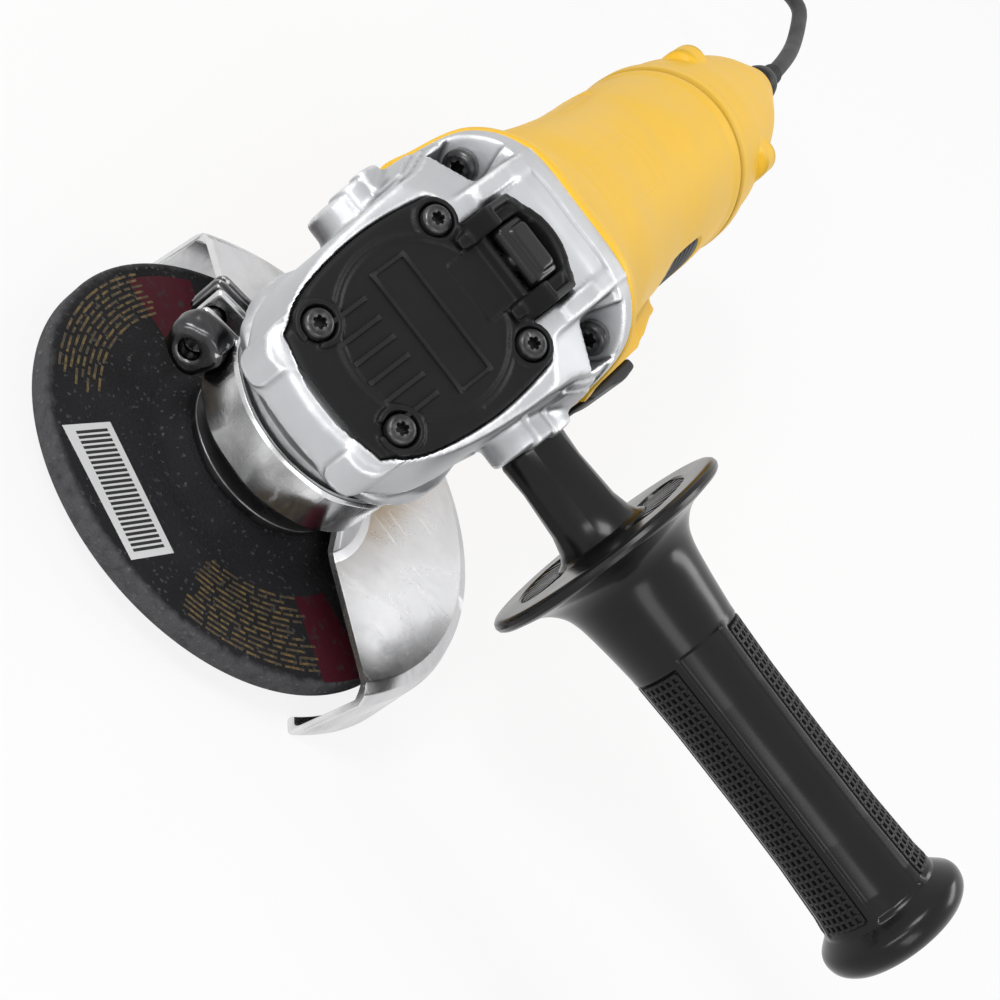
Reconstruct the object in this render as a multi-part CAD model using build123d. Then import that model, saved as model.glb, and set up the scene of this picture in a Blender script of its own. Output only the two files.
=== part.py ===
from build123d import *
from math import acos, atan, cos, degrees, pi, radians, sin, sqrt, tan
import os

# Angle grinder with a 115 mm wheel. Everything is drawn about the point where the motor's axis (X)
# crosses the spindle's axis (Z), then lifted so that the origin is the spindle's free end.
# +X points to the nose, +Y to the side handle, +Z away from the wheel.

# Spindle stack, heights counted down from the motor's axis
SPINDLE_END = 59.5
FREE_THREAD = 3.0
NUT_T = 4.0
NUT_R = 15.5
WHEEL_T = 6.0
WHEEL_R = 57.15
WHEEL_DISH = 5.0
WHEEL_HUB_R = 21.5
THREAD_R = 7.94
PILOT_R = 6.6
PILOT_L = 2.6
BACK_FLANGE_T = 5.5
BACK_FLANGE_R = 21.8
JOURNAL_R = 7.5
LOW_BEARING_T = 11.0
LOW_BEARING_R = 17.5
LOW_BEARING_TOP = 26.0
RETAINER_T = 1.6
SHOULDER_R = 9.5
TOP_JOURNAL_R = 3.5
TOP_BUSH_R = 5.5
TOP_BUSH_BASE = 5.4
TOP_BUSH_T = 9.0
RUN_FIT = 0.05
SEAT_FIT = 0.02

# Bevel gears
GEAR_TEETH = 38
PINION_TEETH = 12
MODULE = 1.15
FACE_W = 6.0
PRESSURE = 20.0
PINION_SHIFT = 0.3
BACKLASH = 0.34
TIP_GAP = 0.25
ROOT_BURY = 0.06
GEAR_BASE = 14.0
LOCK_HOLES = 12
LOCK_HOLE_R = 2.45
LOCK_PIN_R = 2.0
LOCK_RADIUS = 12.2
LOCK_TRAVEL = 4.5

# Gear case, its slanted top and the flange to the motor
CASE_SPLIT = 10.0
CASE_TOP = 37.5
CASE_REAR = 38.0
CASE_NOSE = 40.0
CASE_SIDE = 28.0
FLANGE_W = 35.0
FLANGE_T = 7.0
COVER_TILT = 31.3
COVER_AT = (-3.4, 25.7)
COVER_T = 2.4
CAVITY_R = 23.9
CAVITY_TOP = 5.0
COLLAR_R = 22.3
NECK_R = 24.0
COLLAR_TOP = 24.0
COLLAR_END = 38.6
BOX_FLOOR = 16.6
BOX_REAR = 25.35
BOSS_X = -19.8
BOSS_R = 9.8
BOSS_FACE = 35.6
BOSS_HOLE_R = 4.25
BOSS_HOLE_DEPTH = 14.0
COVER_SCREWS = ((-3.4, 17.0), (29.0, 14.0))
FLANGE_SCREW = (24.6, 24.0)

# Lock button and its well
BUTTON_L = 8.0
BUTTON_W = 15.0
BUTTON_TOP = 34.4
BUTTON_H = 3.6
WELL_FLOOR = 26.0
WELL_REAR = 21.8
WELL_W = 26.0
GUIDE_WALL = 1.3

# Motor
SHAFT_R = 4.5
FRONT_BEARING_R = 13.0
FRONT_BEARING_T = 8.0
FRONT_BEARING_X = -33.5
REAR_SHAFT_R = 3.5
REAR_BEARING_R = 9.5
REAR_BEARING_T = 6.0
REAR_BEARING_X = -160.0
FAN_R = 27.5
FAN_X = -45.0
FAN_T = 9.0
FAN_BLADES = 9
CORE_R = 15.6
CORE_X = -109.0
CORE_L = 45.0
AIR_GAP = 0.4
STATOR_R = 24.4
COMMUTATOR_R = 11.0
COMMUTATOR_X = -139.0
COMMUTATOR_L = 15.0
BRUSH = (8.0, 6.0)
BRUSH_L = 9.0

# Housing
BARREL_R = 28.3
HOUSING_WALL = 2.2
RIM_GROW = 1.2
REAR_SPLIT = -176.0
REAR_END = -252.0
TAIL_RISE = 10.8

# Slide switch on the +Y side
SLIDER_X = -60.0
SLIDER_L = 30.0
SLIDER_W = 15.0
SLIDER_BASE = 36.0
SLIDER_OUT = 39.6
SLIDER_TRAVEL = 6.0
STEM = (-71.5, -64.5)
LINK_Y = 24.7
LINK_T = 1.5
LINK_REAR = -196.0
MODULE_SIDE = 12.2

# Guard and its clamp
GUARD_R = 64.5
GUARD_T = 1.6
GUARD_PLATE = 43.3
GUARD_LIP = 63.0
GUARD_LIP_W = 4.6
GUARD_FROM = 63.0
GUARD_SWEEP = 174.0
GUARD_END_SLANT = 7.0
BAND_T = 2.0
BAND_TOP = 24.3
BAND_END = 37.7
BAND_GAP = 0.3
CLAMP_ANGLE = -78.0
CLAMP_GAP = 7.0
CLAMP_OUT = 7.6

# Side handle
NECK_GRIP_R = 8.9
HAND_GUARD_Y = 64.6
HAND_GUARD_R = 32.2
HANDLE_END = 181.5
GRIP_R = 13.7
HANDLE_END_R = 19.2
STUD_R = 4.2
STUD_IN = 11.0

# Cord
CORD_R = 2.75
GLAND_Z = 13.2
GLAND_R = 5.8
GLAND_L = 22.0


def rod(radius, length, x, y=0.0, z=0.0):
    """Cylinder along X whose rear end is at x."""
    return Pos(x, y, z) * Rot(0, 90, 0) * Cylinder(radius, length, align=(Align.CENTER, Align.CENTER, Align.MIN))


def post(radius, bottom, top, x=0.0, y=0.0):
    """Cylinder along Z between two heights."""
    low = (Align.CENTER, Align.CENTER, Align.MIN)
    return Pos(x, y, bottom) * Cylinder(radius, top - bottom, align=low)


def block(x, y, z):
    """Box between three pairs of limits."""
    size = (x[1] - x[0], y[1] - y[0], z[1] - z[0])
    return Pos((x[0] + x[1]) / 2, (y[0] + y[1]) / 2, (z[0] + z[1]) / 2) * Box(*size)


def turned(points, axis=Axis.Z):
    """Solid of revolution from (radius, height) points, about Z or, as (radius, x), about X."""
    if axis == Axis.Z:
        outline = [Vector(r, 0, h) for r, h in points]
    else:
        outline = [Vector(h, 0, r) for r, h in points]
    return revolve(make_face(Polyline(*outline, close=True)), axis)


def ring_bearing(inner, outer, width):
    """Ball bearing about Z from height 0: two grooved races with shields, as one solid."""
    shield = 0.5
    lip = 0.22 * (outer - inner)
    points = [
        (inner, 0),
        (inner + lip, 0),
        (inner + lip, shield),
        (outer - lip, shield),
        (outer - lip, 0),
        (outer, 0),
        (outer, width),
        (outer - lip, width),
        (outer - lip, width - shield),
        (inner + lip, width - shield),
        (inner + lip, width),
        (inner, width),
    ]
    return turned(points)


def along_x(shape, x):
    """Turns a shape drawn up Z from 0 so that it points along +X from x."""
    return Pos(x, 0, 0) * Rot(0, 90, 0) * shape


# ---- bevel gears -------------------------------------------------------------------------------


def tooth_outline(teeth, angle, addendum, dedendum, thickness):
    """Half a tooth across the back cone: (across, outwards) points from root to tip."""
    pitch = MODULE * teeth / 2 / cos(radians(angle))
    base = pitch * cos(radians(PRESSURE))
    involute = tan(radians(PRESSURE)) - radians(PRESSURE)
    points = []
    for height in (-dedendum, -dedendum / 2, 0.0, addendum / 2, addendum):
        radius = pitch + height
        slant = acos(min(base / radius, 1.0))
        half = thickness / 2 / pitch + involute - (tan(slant) - slant)
        points.append((radius * sin(half), radius * cos(half) - pitch))
    return points


def bevel_tooth(teeth, angle, addendum, dedendum, thickness):
    """One straight bevel tooth of a gear about Z, its pitch cone's tip at the origin, growing down."""
    radius = MODULE * teeth / 2
    depth = radius / tan(radians(angle))
    scale = 1 - FACE_W * sin(radians(angle)) / radius
    half = tooth_outline(teeth, angle, addendum, dedendum, thickness)
    foot = (half[0][0], half[0][1] - MODULE)
    side = [foot] + half
    outline = side + [(-across, out) for across, out in reversed(side)]
    slope = Vector(sin(radians(angle)), 0, -cos(radians(angle)))
    rise = Vector(cos(radians(angle)), 0, sin(radians(angle)))
    faces = []
    for factor in (1.0, scale):
        centre = Vector(radius, 0, -depth) * factor
        corners = [centre + Vector(0, a, 0) * factor + rise * (o * factor) for a, o in outline]
        faces.append(make_face(Polyline(*corners, close=True)))
    return loft(faces, ruled=True)


def bevel_teeth(teeth, angle, addendum, dedendum, thickness, start):
    """All teeth of one bevel gear."""
    tooth = bevel_tooth(teeth, angle, addendum, dedendum, thickness)
    return [Rot(0, 0, start + 360 * n / teeth) * tooth for n in range(teeth)]


GEAR_ANGLE = degrees(atan(GEAR_TEETH / PINION_TEETH))
PINION_ANGLE = 90 - GEAR_ANGLE
GEAR_PITCH_R = MODULE * GEAR_TEETH / 2
PINION_PITCH_R = MODULE * PINION_TEETH / 2
GEAR_ADDENDUM = MODULE * (1 - PINION_SHIFT * 4 / 3)
PINION_ADDENDUM = MODULE * (1 + PINION_SHIFT)
SHIFT_THICKNESS = 2 * PINION_SHIFT * MODULE * tan(radians(PRESSURE))
GEAR_THICKNESS = pi * MODULE / 2 - SHIFT_THICKNESS - BACKLASH / 2
PINION_THICKNESS = pi * MODULE / 2 + SHIFT_THICKNESS - BACKLASH / 2


def bevel_gear():
    """Ring gear under the pinion: toothed rim, web with a ring of lock holes, hub."""
    dedendum = PINION_ADDENDUM + TIP_GAP
    tilt = radians(GEAR_ANGLE)
    scale = 1 - FACE_W * sin(tilt) / GEAR_PITCH_R
    root_r = GEAR_PITCH_R - dedendum * cos(tilt) + ROOT_BURY
    root_z = -PINION_PITCH_R - dedendum * sin(tilt)
    web_top = -9.4
    bore = SHOULDER_R - 1.5 + SEAT_FIT
    blank = turned([
        (bore, -GEAR_BASE),
        (root_r - 1.5, -GEAR_BASE),
        (root_r + 0.6, root_z - 2.0),
        (root_r, root_z),
        (root_r * scale, root_z * scale),
        (root_r * scale - 0.4, web_top),
        (SHOULDER_R, web_top),
        (SHOULDER_R - 0.5, -6.0),
        (bore, -6.0),
    ])
    teeth = bevel_teeth(GEAR_TEETH, GEAR_ANGLE, GEAR_ADDENDUM, dedendum, GEAR_THICKNESS, 0.0)
    gear = blank.fuse(*teeth)
    holes = []
    for n in range(LOCK_HOLES):
        turn = radians(180 + 360 * n / LOCK_HOLES)
        holes.append(post(LOCK_HOLE_R, -GEAR_BASE - 1, web_top + 1, LOCK_RADIUS * cos(turn), LOCK_RADIUS * sin(turn)))
    return gear.cut(*holes)


def pinion():
    """Bevel pinion on the armature shaft's front end."""
    dedendum = GEAR_ADDENDUM + TIP_GAP
    tilt = radians(PINION_ANGLE)
    scale = 1 - FACE_W * sin(tilt) / PINION_PITCH_R
    root_r = PINION_PITCH_R - dedendum * cos(tilt)
    root_x = GEAR_PITCH_R + dedendum * sin(tilt)
    blank = turned([
        (0, -root_x * scale + 0.3),
        (root_r * scale - 0.5, -root_x * scale + 0.3),
        (root_r * scale, -root_x * scale),
        (root_r, -root_x),
        (root_r + 0.4, -root_x - 1.6),
        (0, -root_x - 1.6),
    ])
    start = 180 / PINION_TEETH
    teeth = bevel_teeth(PINION_TEETH, PINION_ANGLE, PINION_ADDENDUM, dedendum, PINION_THICKNESS, start)
    gear = blank.fuse(*teeth)
    bore = post(SHAFT_R - 1.5 + SEAT_FIT, -root_x - 2, -root_x * scale - 1.2)
    return Rot(0, 90, 0) * (gear - bore)


# ---- spindle and what turns with it --------------------------------------------------------------

NUT_TOP = -SPINDLE_END + FREE_THREAD + NUT_T
WHEEL_BACK = NUT_TOP + WHEEL_T
FLANGE_TOP = WHEEL_BACK + BACK_FLANGE_T


def spindle():
    """Turned spindle: threaded nose, bearing journal, gear seat and top journal."""
    seat_r = SHOULDER_R - 1.5
    shaft = turned([
        (0, -SPINDLE_END),
        (PILOT_R, -SPINDLE_END),
        (PILOT_R, -SPINDLE_END + PILOT_L),
        (THREAD_R, -SPINDLE_END + PILOT_L),
        (THREAD_R, FLANGE_TOP - 2.0),
        (THREAD_R + 1.6, FLANGE_TOP - 2.0),
        (THREAD_R + 1.6, -LOW_BEARING_TOP - LOW_BEARING_T),
        (JOURNAL_R, -LOW_BEARING_TOP - LOW_BEARING_T),
        (JOURNAL_R, -LOW_BEARING_TOP),
        (SHOULDER_R, -LOW_BEARING_TOP),
        (SHOULDER_R, -GEAR_BASE),
        (seat_r, -GEAR_BASE),
        (seat_r, -4.6),
        (seat_r - 1.0, -3.6),
        (TOP_JOURNAL_R + 1.5, -1.0),
        (TOP_JOURNAL_R + 1.5, TOP_BUSH_BASE - 0.6),
        (TOP_JOURNAL_R, TOP_BUSH_BASE - 0.6),
        (TOP_JOURNAL_R, TOP_BUSH_BASE + TOP_BUSH_T - 0.8),
        (TOP_JOURNAL_R - 0.6, TOP_BUSH_BASE + TOP_BUSH_T - 0.2),
        (0, TOP_BUSH_BASE + TOP_BUSH_T - 0.2),
    ])
    return shaft


def backing_flange():
    """Dished steel flange between the spindle's shoulder and the wheel."""
    bore = THREAD_R + RUN_FIT
    return turned([
        (bore, WHEEL_BACK),
        (BACK_FLANGE_R - 0.8, WHEEL_BACK),
        (BACK_FLANGE_R, WHEEL_BACK + 0.8),
        (BACK_FLANGE_R, WHEEL_BACK + 2.6),
        (BACK_FLANGE_R - 2.0, WHEEL_BACK + 3.4),
        (THREAD_R + 7.0, FLANGE_TOP),
        (THREAD_R + 1.7, FLANGE_TOP),
        (THREAD_R + 1.7, FLANGE_TOP - 2.0),
        (bore, FLANGE_TOP - 2.0),
    ])


def grinding_wheel():
    """Depressed-centre wheel with a raised hub, a conical step and a flat working rim."""
    rim_back = WHEEL_BACK - WHEEL_DISH
    step = WHEEL_DISH * 1.3
    bore = THREAD_R + RUN_FIT
    wheel = turned([
        (bore, WHEEL_BACK),
        (WHEEL_HUB_R, WHEEL_BACK),
        (WHEEL_HUB_R + step, rim_back),
        (WHEEL_R - 0.5, rim_back),
        (WHEEL_R, rim_back - 0.5),
        (WHEEL_R, rim_back - WHEEL_T + 0.5),
        (WHEEL_R - 0.5, rim_back - WHEEL_T),
        (WHEEL_HUB_R + step - 1.0, rim_back - WHEEL_T),
        (WHEEL_HUB_R - 1.0, WHEEL_BACK - WHEEL_T),
        (bore, WHEEL_BACK - WHEEL_T),
    ])
    return wheel


def clamp_nut():
    """Round clamp nut with four spanner notches."""
    bottom = NUT_TOP - NUT_T
    nut = post(NUT_R, bottom, NUT_TOP) - post(THREAD_R + RUN_FIT, bottom - 1, NUT_TOP + 1)
    nut = chamfer(nut.edges().filter_by(GeomType.CIRCLE).sort_by(SortBy.RADIUS)[-2:], 0.6)
    for turn in (0, 90, 180, 270):
        nut -= Rot(0, 0, turn) * block((NUT_R - 2.4, NUT_R + 1), (-2.2, 2.2), (bottom - 1, NUT_TOP - 1.4))
    return nut


# ---- gear case -----------------------------------------------------------------------------------

TILT = radians(COVER_TILT)


def plane_height(x):
    """Height of the cover's top plane at a station x."""
    return COVER_AT[1] - (x - COVER_AT[0]) * tan(TILT)


def plane_x(height):
    """Station where the cover's top plane has a height."""
    return COVER_AT[0] - (height - COVER_AT[1]) / tan(TILT)


def on_cover(x, y, lift=0.0):
    """Frame on the cover's plane at a station, its Z along the plane's normal."""
    return Pos(x, y, plane_height(x)) * Rot(0, COVER_TILT, 0) * Pos(0, 0, lift)


def case_plan(grow=0.0):
    """Outline of the case from above."""
    side = CASE_SIDE + grow
    nose = CASE_NOSE + grow
    wide = FLANGE_W + grow
    corner = (nose - 3.6, 17.2 + grow)
    return make_face([
        Line((-CASE_REAR, -wide), (-CASE_REAR, wide)),
        Line((-CASE_REAR, wide), (-30.0, wide)),
        Spline((-30.0, wide), (-12.0, side + 0.6), (6.0, side - 0.4), (22.0, 24.6 + grow), corner,
               tangents=((1, -0.25), (0.7, -0.7))),
        ThreePointArc(corner, (nose, 0), (corner[0], -corner[1])),
        Spline((corner[0], -corner[1]), (22.0, -24.6 - grow), (6.0, -side + 0.4), (-12.0, -side - 0.6),
               (-30.0, -wide), tangents=((-0.7, -0.7), (-1, -0.25))),
        Line((-30.0, -wide), (-CASE_REAR, -wide)),
    ])


def flange_outline(grow=0.0):
    """Outline of the joint between gear case and motor housing, seen along X, as (y, z)."""
    wide = FLANGE_W + grow
    top = CASE_TOP + grow
    low = -(FLANGE_W - 2.0) - grow
    return [
        (-wide, 0.0),
        (-wide + 0.9, 12.0),
        (-29.5 - grow, 28.0),
        (-18.0, top - 0.6),
        (0.0, top + 0.6),
        (18.0, top - 0.6),
        (29.5 + grow, 28.0),
        (wide - 0.9, 12.0),
        (wide, 0.0),
        (25.0 + grow * 0.7, -22.0),
        (0.0, low),
        (-25.0 - grow * 0.7, -22.0),
    ]


def flange_face(x, grow=0.0):
    """The joint outline as a smooth face at a station x."""
    points = [Vector(x, y, z) for y, z in flange_outline(grow)]
    return make_face(Spline(*points, periodic=True))


def case_side():
    """Side view of the case's outside."""
    return make_face(Polyline(
        Vector(CASE_NOSE + 5, 0, -CASE_SPLIT),
        Vector(CASE_NOSE + 5, 0, plane_height(CASE_NOSE + 5)),
        Vector(plane_x(CASE_TOP + 1), 0, CASE_TOP + 1),
        Vector(-CASE_REAR, 0, CASE_TOP + 1),
        Vector(-CASE_REAR, 0, -FLANGE_W),
        Vector(-CASE_REAR + FLANGE_T, 0, -FLANGE_W),
        Vector(-BOX_REAR, 0, -20.0),
        Vector(-BOX_REAR, 0, -CASE_SPLIT),
        close=True,
    ))


def case_blank():
    """The case before it is hollowed."""
    side = extrude(case_side(), FLANGE_W + 5, both=True)
    plan = Pos(0, 0, -FLANGE_W - 5) * extrude(case_plan(), FLANGE_W + CASE_TOP + 10)
    shape = side & plan
    tunnel = extrude(flange_face(-CASE_REAR), CASE_REAR + CASE_NOSE + 5, dir=(1, 0, 0))
    shape = shape & tunnel
    return shape


def screw_pocket(sign):
    """Three-cornered pocket that opens the flange to a motor screw's head."""
    y, z = FLANGE_SCREW
    seat = -CASE_REAR + FLANGE_T - 2.0
    reach = 6.4
    outline = Polyline(
        Vector(seat, sign * (y + 16.0), z - 4.6),
        Vector(seat, sign * y, z - reach),
        Vector(seat, sign * (y - reach * 0.7), z - reach * 0.7),
        Vector(seat, sign * (y - reach), z),
        Vector(seat, sign * (y - 4.8), z + 20.0),
        Vector(seat, sign * (y + 16.0), z + 20.0),
        close=True,
    )
    bore = extrude(make_face(outline), 30.0, dir=(1, 0, 0))
    front = Pos(seat + 8.0, 0, z - reach) * Rot(0, 54.0, 0) * Pos(20.0, 0, 0) * Box(40, 120, 160)
    return bore - front


def front_boss(sign):
    """Half-round column down the nose under a front cover screw."""
    column = post(4.6, -CASE_SPLIT, 20.0, 34.6, sign * 13.8)
    return column & extrude(case_side(), FLANGE_W, both=True)


def gear_case():
    """Die-cast case: slanted top under the cover, gear chamber, bearing seats, handle bosses."""
    case = case_blank()
    for sign in (-1, 1):
        boss = Pos(BOSS_X, sign * BOSS_FACE, 0.6) * Rot(sign * 90, 0, 0)
        case += boss * Cylinder(BOSS_R, 18.0, align=(Align.CENTER, Align.CENTER, Align.MIN))
        case += front_boss(sign)
    case -= post(CAVITY_R, -CASE_SPLIT - 1, CAVITY_TOP)
    case -= post(TOP_BUSH_R + SEAT_FIT, 0, TOP_BUSH_BASE + TOP_BUSH_T)
    case -= rod(9.4, 24.0, -36.0)
    case -= rod(FRONT_BEARING_R + SEAT_FIT, CASE_REAR + FRONT_BEARING_X + FRONT_BEARING_T, -CASE_REAR)
    case -= rod(FAN_R + 1.5, 3.0, -CASE_REAR)
    for sign in (-1, 1):
        hole = Pos(BOSS_X, sign * (BOSS_FACE + 1), 0.6) * Rot(sign * 90, 0, 0)
        case -= hole * Cylinder(BOSS_HOLE_R, BOSS_HOLE_DEPTH + 1, align=(Align.CENTER, Align.CENTER, Align.MIN))
        pocket_y = sign * FLANGE_SCREW[0]
        case -= screw_pocket(sign)
        case -= rod(2.3, 10.0, -CASE_REAR - 1, pocket_y, FLANGE_SCREW[1])
    for x, y in COVER_SCREWS:
        for sign in (-1, 1):
            case -= on_cover(x, sign * y) * Cylinder(1.9, 22.0)
    case -= cover_seat()
    case -= well_space()
    pin_top = WELL_FLOOR + 1
    case -= post(LOCK_PIN_R + 0.06, 0, pin_top, -LOCK_RADIUS)
    case -= post(LOCK_PIN_R + 1.6, WELL_FLOOR - 9.0, pin_top, -LOCK_RADIUS)
    return case


def cover_plan(shrink=0.0):
    """Outline of the cover from above."""
    side = 24.3 - shrink
    corner = (35.4 - shrink, 16.3 - shrink * 0.5)
    rear = -6.8 + shrink
    return make_face([
        Line((rear, -19.5 + shrink), (rear, 19.5 - shrink)),
        Spline((rear, 19.5 - shrink), (-2.0, 23.4 - shrink), (10.0, side), (25.0, 22.0 - shrink), corner,
               tangents=((0, 1), (0.8, -0.6))),
        ThreePointArc(corner, (37.4 - shrink, 0), (corner[0], -corner[1])),
        Spline((corner[0], -corner[1]), (25.0, -22.0 + shrink), (10.0, -side), (-2.0, -23.4 + shrink),
               (rear, -19.5 + shrink), tangents=((-0.8, -0.6), (0, 1))),
    ])


def cover_slab(bottom, top, shrink=0.0):
    """Cover outline as a slab between two offsets from the slanted plane."""
    prism = Pos(0, 0, -30) * extrude(cover_plan(shrink), 90)
    slab = on_cover(15.0, 0, (bottom + top) / 2) * Box(90, 70, top - bottom)
    return prism & slab


def cover_seat():
    """Shallow pocket that the cover drops into."""
    return cover_slab(-COVER_T, 20.0, -0.1)


def well_plan(shrink=0.0):
    """Outline of the lock button's well from above, with a rounded rear."""
    half = WELL_W / 2 - shrink
    rear = -WELL_REAR + shrink
    front = -5.5
    return make_face([
        Line((front, -half), (front, half)),
        Line((front, half), (rear + 4.5, half)),
        ThreePointArc((rear + 4.5, half), (rear, 0), (rear + 4.5, -half)),
        Line((rear + 4.5, -half), (front, -half)),
    ])


def well_space():
    """Well in the case for the cover's button guide."""
    return Pos(0, 0, WELL_FLOOR) * extrude(well_plan(), 30)


def gear_case_cover():
    """Slanted plastic cover with the lock button's guide, ribs, a round bead and screw bosses."""
    plate = cover_slab(-COVER_T + 0.02, 0.0)
    guide = Pos(0, 0, WELL_FLOOR + 0.02) * extrude(well_plan(0.15), CASE_TOP - WELL_FLOOR - 1.0)
    ceiling = on_cover(-12.0, 0, 1.4 - 25.0) * Box(60, 60, 50.0)
    guide = guide & ceiling
    inner = Pos(0, 0, WELL_FLOOR + 1.6) * extrude(well_plan(GUIDE_WALL + 0.1), 30)
    keep = block((-30, -7.5), (-30, 30), (0, 60))
    cover = plate + guide - (inner & keep)
    half = BUTTON_W / 2 + 0.3
    for sign in (-1, 1):
        rail = on_cover(-8.8, sign * (half + 1.6), 0.2) * Box(19.0, 3.0, 2.4)
        web = block((-17.5, -7.0), sorted((sign * half, sign * (half + 3.1))), (WELL_FLOOR + 1.0, plane_height(-12.0)))
        cover += rail + web
    rear = -LOCK_RADIUS - 5.2
    room = (rear - 0.4, rear + BUTTON_L + 0.4), (-BUTTON_W / 2 - 0.3, BUTTON_W / 2 + 0.3)
    cover -= block(*room, (WELL_FLOOR - 1, WELL_FLOOR + 5))
    bead = on_cover(12.0, 0) * (Cylinder(20.6, 1.2) - Cylinder(19.8, 3.0))
    cover += bead & (Pos(0, 0, -30) * extrude(cover_plan(2.0), 90)) & block((-2.0, 40), (-30, 30), (-10, 40))
    for n in range(6):
        cover += on_cover(22.5, -12.5 + 5.0 * n, 0.2) * Box(9.0, 1.0, 0.9)
    for x in (7.5, 14.5):
        cover += on_cover(x, 0, 0.2) * Box(0.8, 33.0, 0.8)
    for x, y in COVER_SCREWS:
        for sign in (-1, 1):
            spot = on_cover(x, sign * y)
            if x > 0:
                cover += spot * Cylinder(5.2, 2.0)
            cover -= spot * (Pos(0, 0, 1.0) * Cylinder(4.0, 2.4))
            cover -= spot * Cylinder(1.9, 12.0)
    return cover


def pan_screw(shank_r, shank_l, head_r, head_h):
    """Pan-head screw along Z, its head's underside at 0, with a six-lobe socket left as a round one."""
    head = Cylinder(head_r, head_h, align=(Align.CENTER, Align.CENTER, Align.MIN))
    head = fillet(head.edges().sort_by(Axis.Z)[-1], head_h * 0.45)
    shank = Pos(0, 0, -shank_l) * Cylinder(shank_r, shank_l, align=(Align.CENTER, Align.CENTER, Align.MIN))
    socket = Pos(0, 0, head_h * 0.35) * Cylinder(head_r * 0.42, head_h, align=(Align.CENTER, Align.CENTER, Align.MIN))
    return head + shank - socket


def cover_screws():
    """Four screws that hold the cover."""
    screws = []
    for x, y in COVER_SCREWS:
        for sign in (-1, 1):
            screws.append(on_cover(x, sign * y, -0.2) * pan_screw(1.85, 8.0, 3.5, 2.6))
    return Compound(screws)


def motor_screws():
    """Two screws through the case's flange into the motor housing."""
    screws = []
    for sign in (-1, 1):
        spot = Pos(-CASE_REAR + FLANGE_T - 2.0, sign * FLANGE_SCREW[0], FLANGE_SCREW[1]) * Rot(0, 90, 0)
        screws.append(spot * pan_screw(2.2, 16.0, 4.2, 3.2))
    return Compound(screws)


def bearing_box():
    """Lower case: closes the gear chamber, holds the lower bearing and carries the guard's collar."""
    seat = LOW_BEARING_R + SEAT_FIT
    lip_top = -LOW_BEARING_TOP
    shell = turned([
        (CAVITY_R, -CASE_SPLIT),
        (36.4, -CASE_SPLIT),
        (35.4, -12.6),
        (31.0, -15.8),
        (27.0, -18.2),
        (NECK_R, -19.4),
        (NECK_R, -COLLAR_TOP),
        (COLLAR_R, -COLLAR_TOP),
        (COLLAR_R, -COLLAR_END + 0.6),
        (COLLAR_R - 0.6, -COLLAR_END),
        (seat, -COLLAR_END),
        (seat, lip_top),
        (SHOULDER_R + 2.5, lip_top),
        (SHOULDER_R + 2.5, lip_top + 1.8),
        (20.0, -BOX_FLOOR),
        (CAVITY_R, -BOX_FLOOR),
    ])
    plan = Pos(0, 0, -70) * extrude(case_plan(-0.2), 70)
    front = block((-BOX_REAR, 60), (-60, 60), (-70, 0))
    return shell & plan & front


def lower_bearing():
    """Ball bearing in the bearing box."""
    bottom = -LOW_BEARING_TOP - LOW_BEARING_T
    return Pos(0, 0, bottom) * ring_bearing(JOURNAL_R + RUN_FIT, LOW_BEARING_R, LOW_BEARING_T)


def bearing_retainer():
    """Ring that keeps the lower bearing in its seat."""
    top = -LOW_BEARING_TOP - LOW_BEARING_T
    return post(LOW_BEARING_R, top - RETAINER_T, top) - post(THREAD_R + 2.4, top - RETAINER_T - 1, top + 1)


def top_bush():
    """Needle bush for the spindle's upper journal."""
    top = TOP_BUSH_BASE + TOP_BUSH_T
    return post(TOP_BUSH_R, TOP_BUSH_BASE, top) - post(TOP_JOURNAL_R + RUN_FIT, 0, top + 1)


# ---- spindle lock --------------------------------------------------------------------------------


def lock_button():
    """Ridged button that pushes the lock pin down."""
    x0 = -LOCK_RADIUS - 5.2
    x1 = x0 + BUTTON_L
    half = BUTTON_W / 2
    cap = block((x0, x1), (-half, half), (BUTTON_TOP - BUTTON_H, BUTTON_TOP + 1.4))
    cap -= Pos(x1, 0, BUTTON_TOP - 0.9) * Rot(0, 16.0, 0) * (Pos(0, 0, 5.0) * Box(40, 40, 10))
    cap = fillet(cap.edges().filter_by(Axis.Z), 1.0)
    for n in range(4):
        cap -= Pos(x0 + 1.6 + 1.5 * n, 0, BUTTON_TOP + 1.25 - 0.42 * n) * Rot(90, 0, 0) * Cylinder(0.4, 12.0)
    boss = post(LOCK_PIN_R + 1.0, BUTTON_TOP - BUTTON_H - 1.0, BUTTON_TOP - BUTTON_H + 0.5, -LOCK_RADIUS)
    return cap + boss


LOCK_REST = -7.9


def lock_pin():
    """Steel pin under the button; pressed, its end enters one of the gear's lock holes."""
    top = BUTTON_TOP - BUTTON_H - 1.0
    pin = post(LOCK_PIN_R, LOCK_REST, top, -LOCK_RADIUS)
    pin = chamfer(pin.edges().sort_by(Axis.Z)[0], 0.5)
    collar = post(LOCK_PIN_R + 1.0, top - 1.0, top, -LOCK_RADIUS)
    return pin + collar


def coil_spring(radius, wire, turns, length):
    """Coil spring along Z from height 0."""
    pitch = (length - 2 * wire) / turns
    path = Helix(pitch, pitch * turns, radius)
    start = Plane(origin=path @ 0, z_dir=path % 0)
    return Pos(0, 0, wire) * sweep(start * Circle(wire), path, is_frenet=True)


LOCK_SPRING_BASE = WELL_FLOOR - 9.0
LOCK_SPRING_TOP = BUTTON_TOP - BUTTON_H - 2.0


def lock_spring():
    """Return spring of the lock button."""
    length = LOCK_SPRING_TOP - LOCK_SPRING_BASE
    spring = coil_spring(LOCK_PIN_R + 0.75, 0.35, 6, length)
    return Pos(-LOCK_RADIUS, 0, LOCK_SPRING_BASE) * spring


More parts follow.
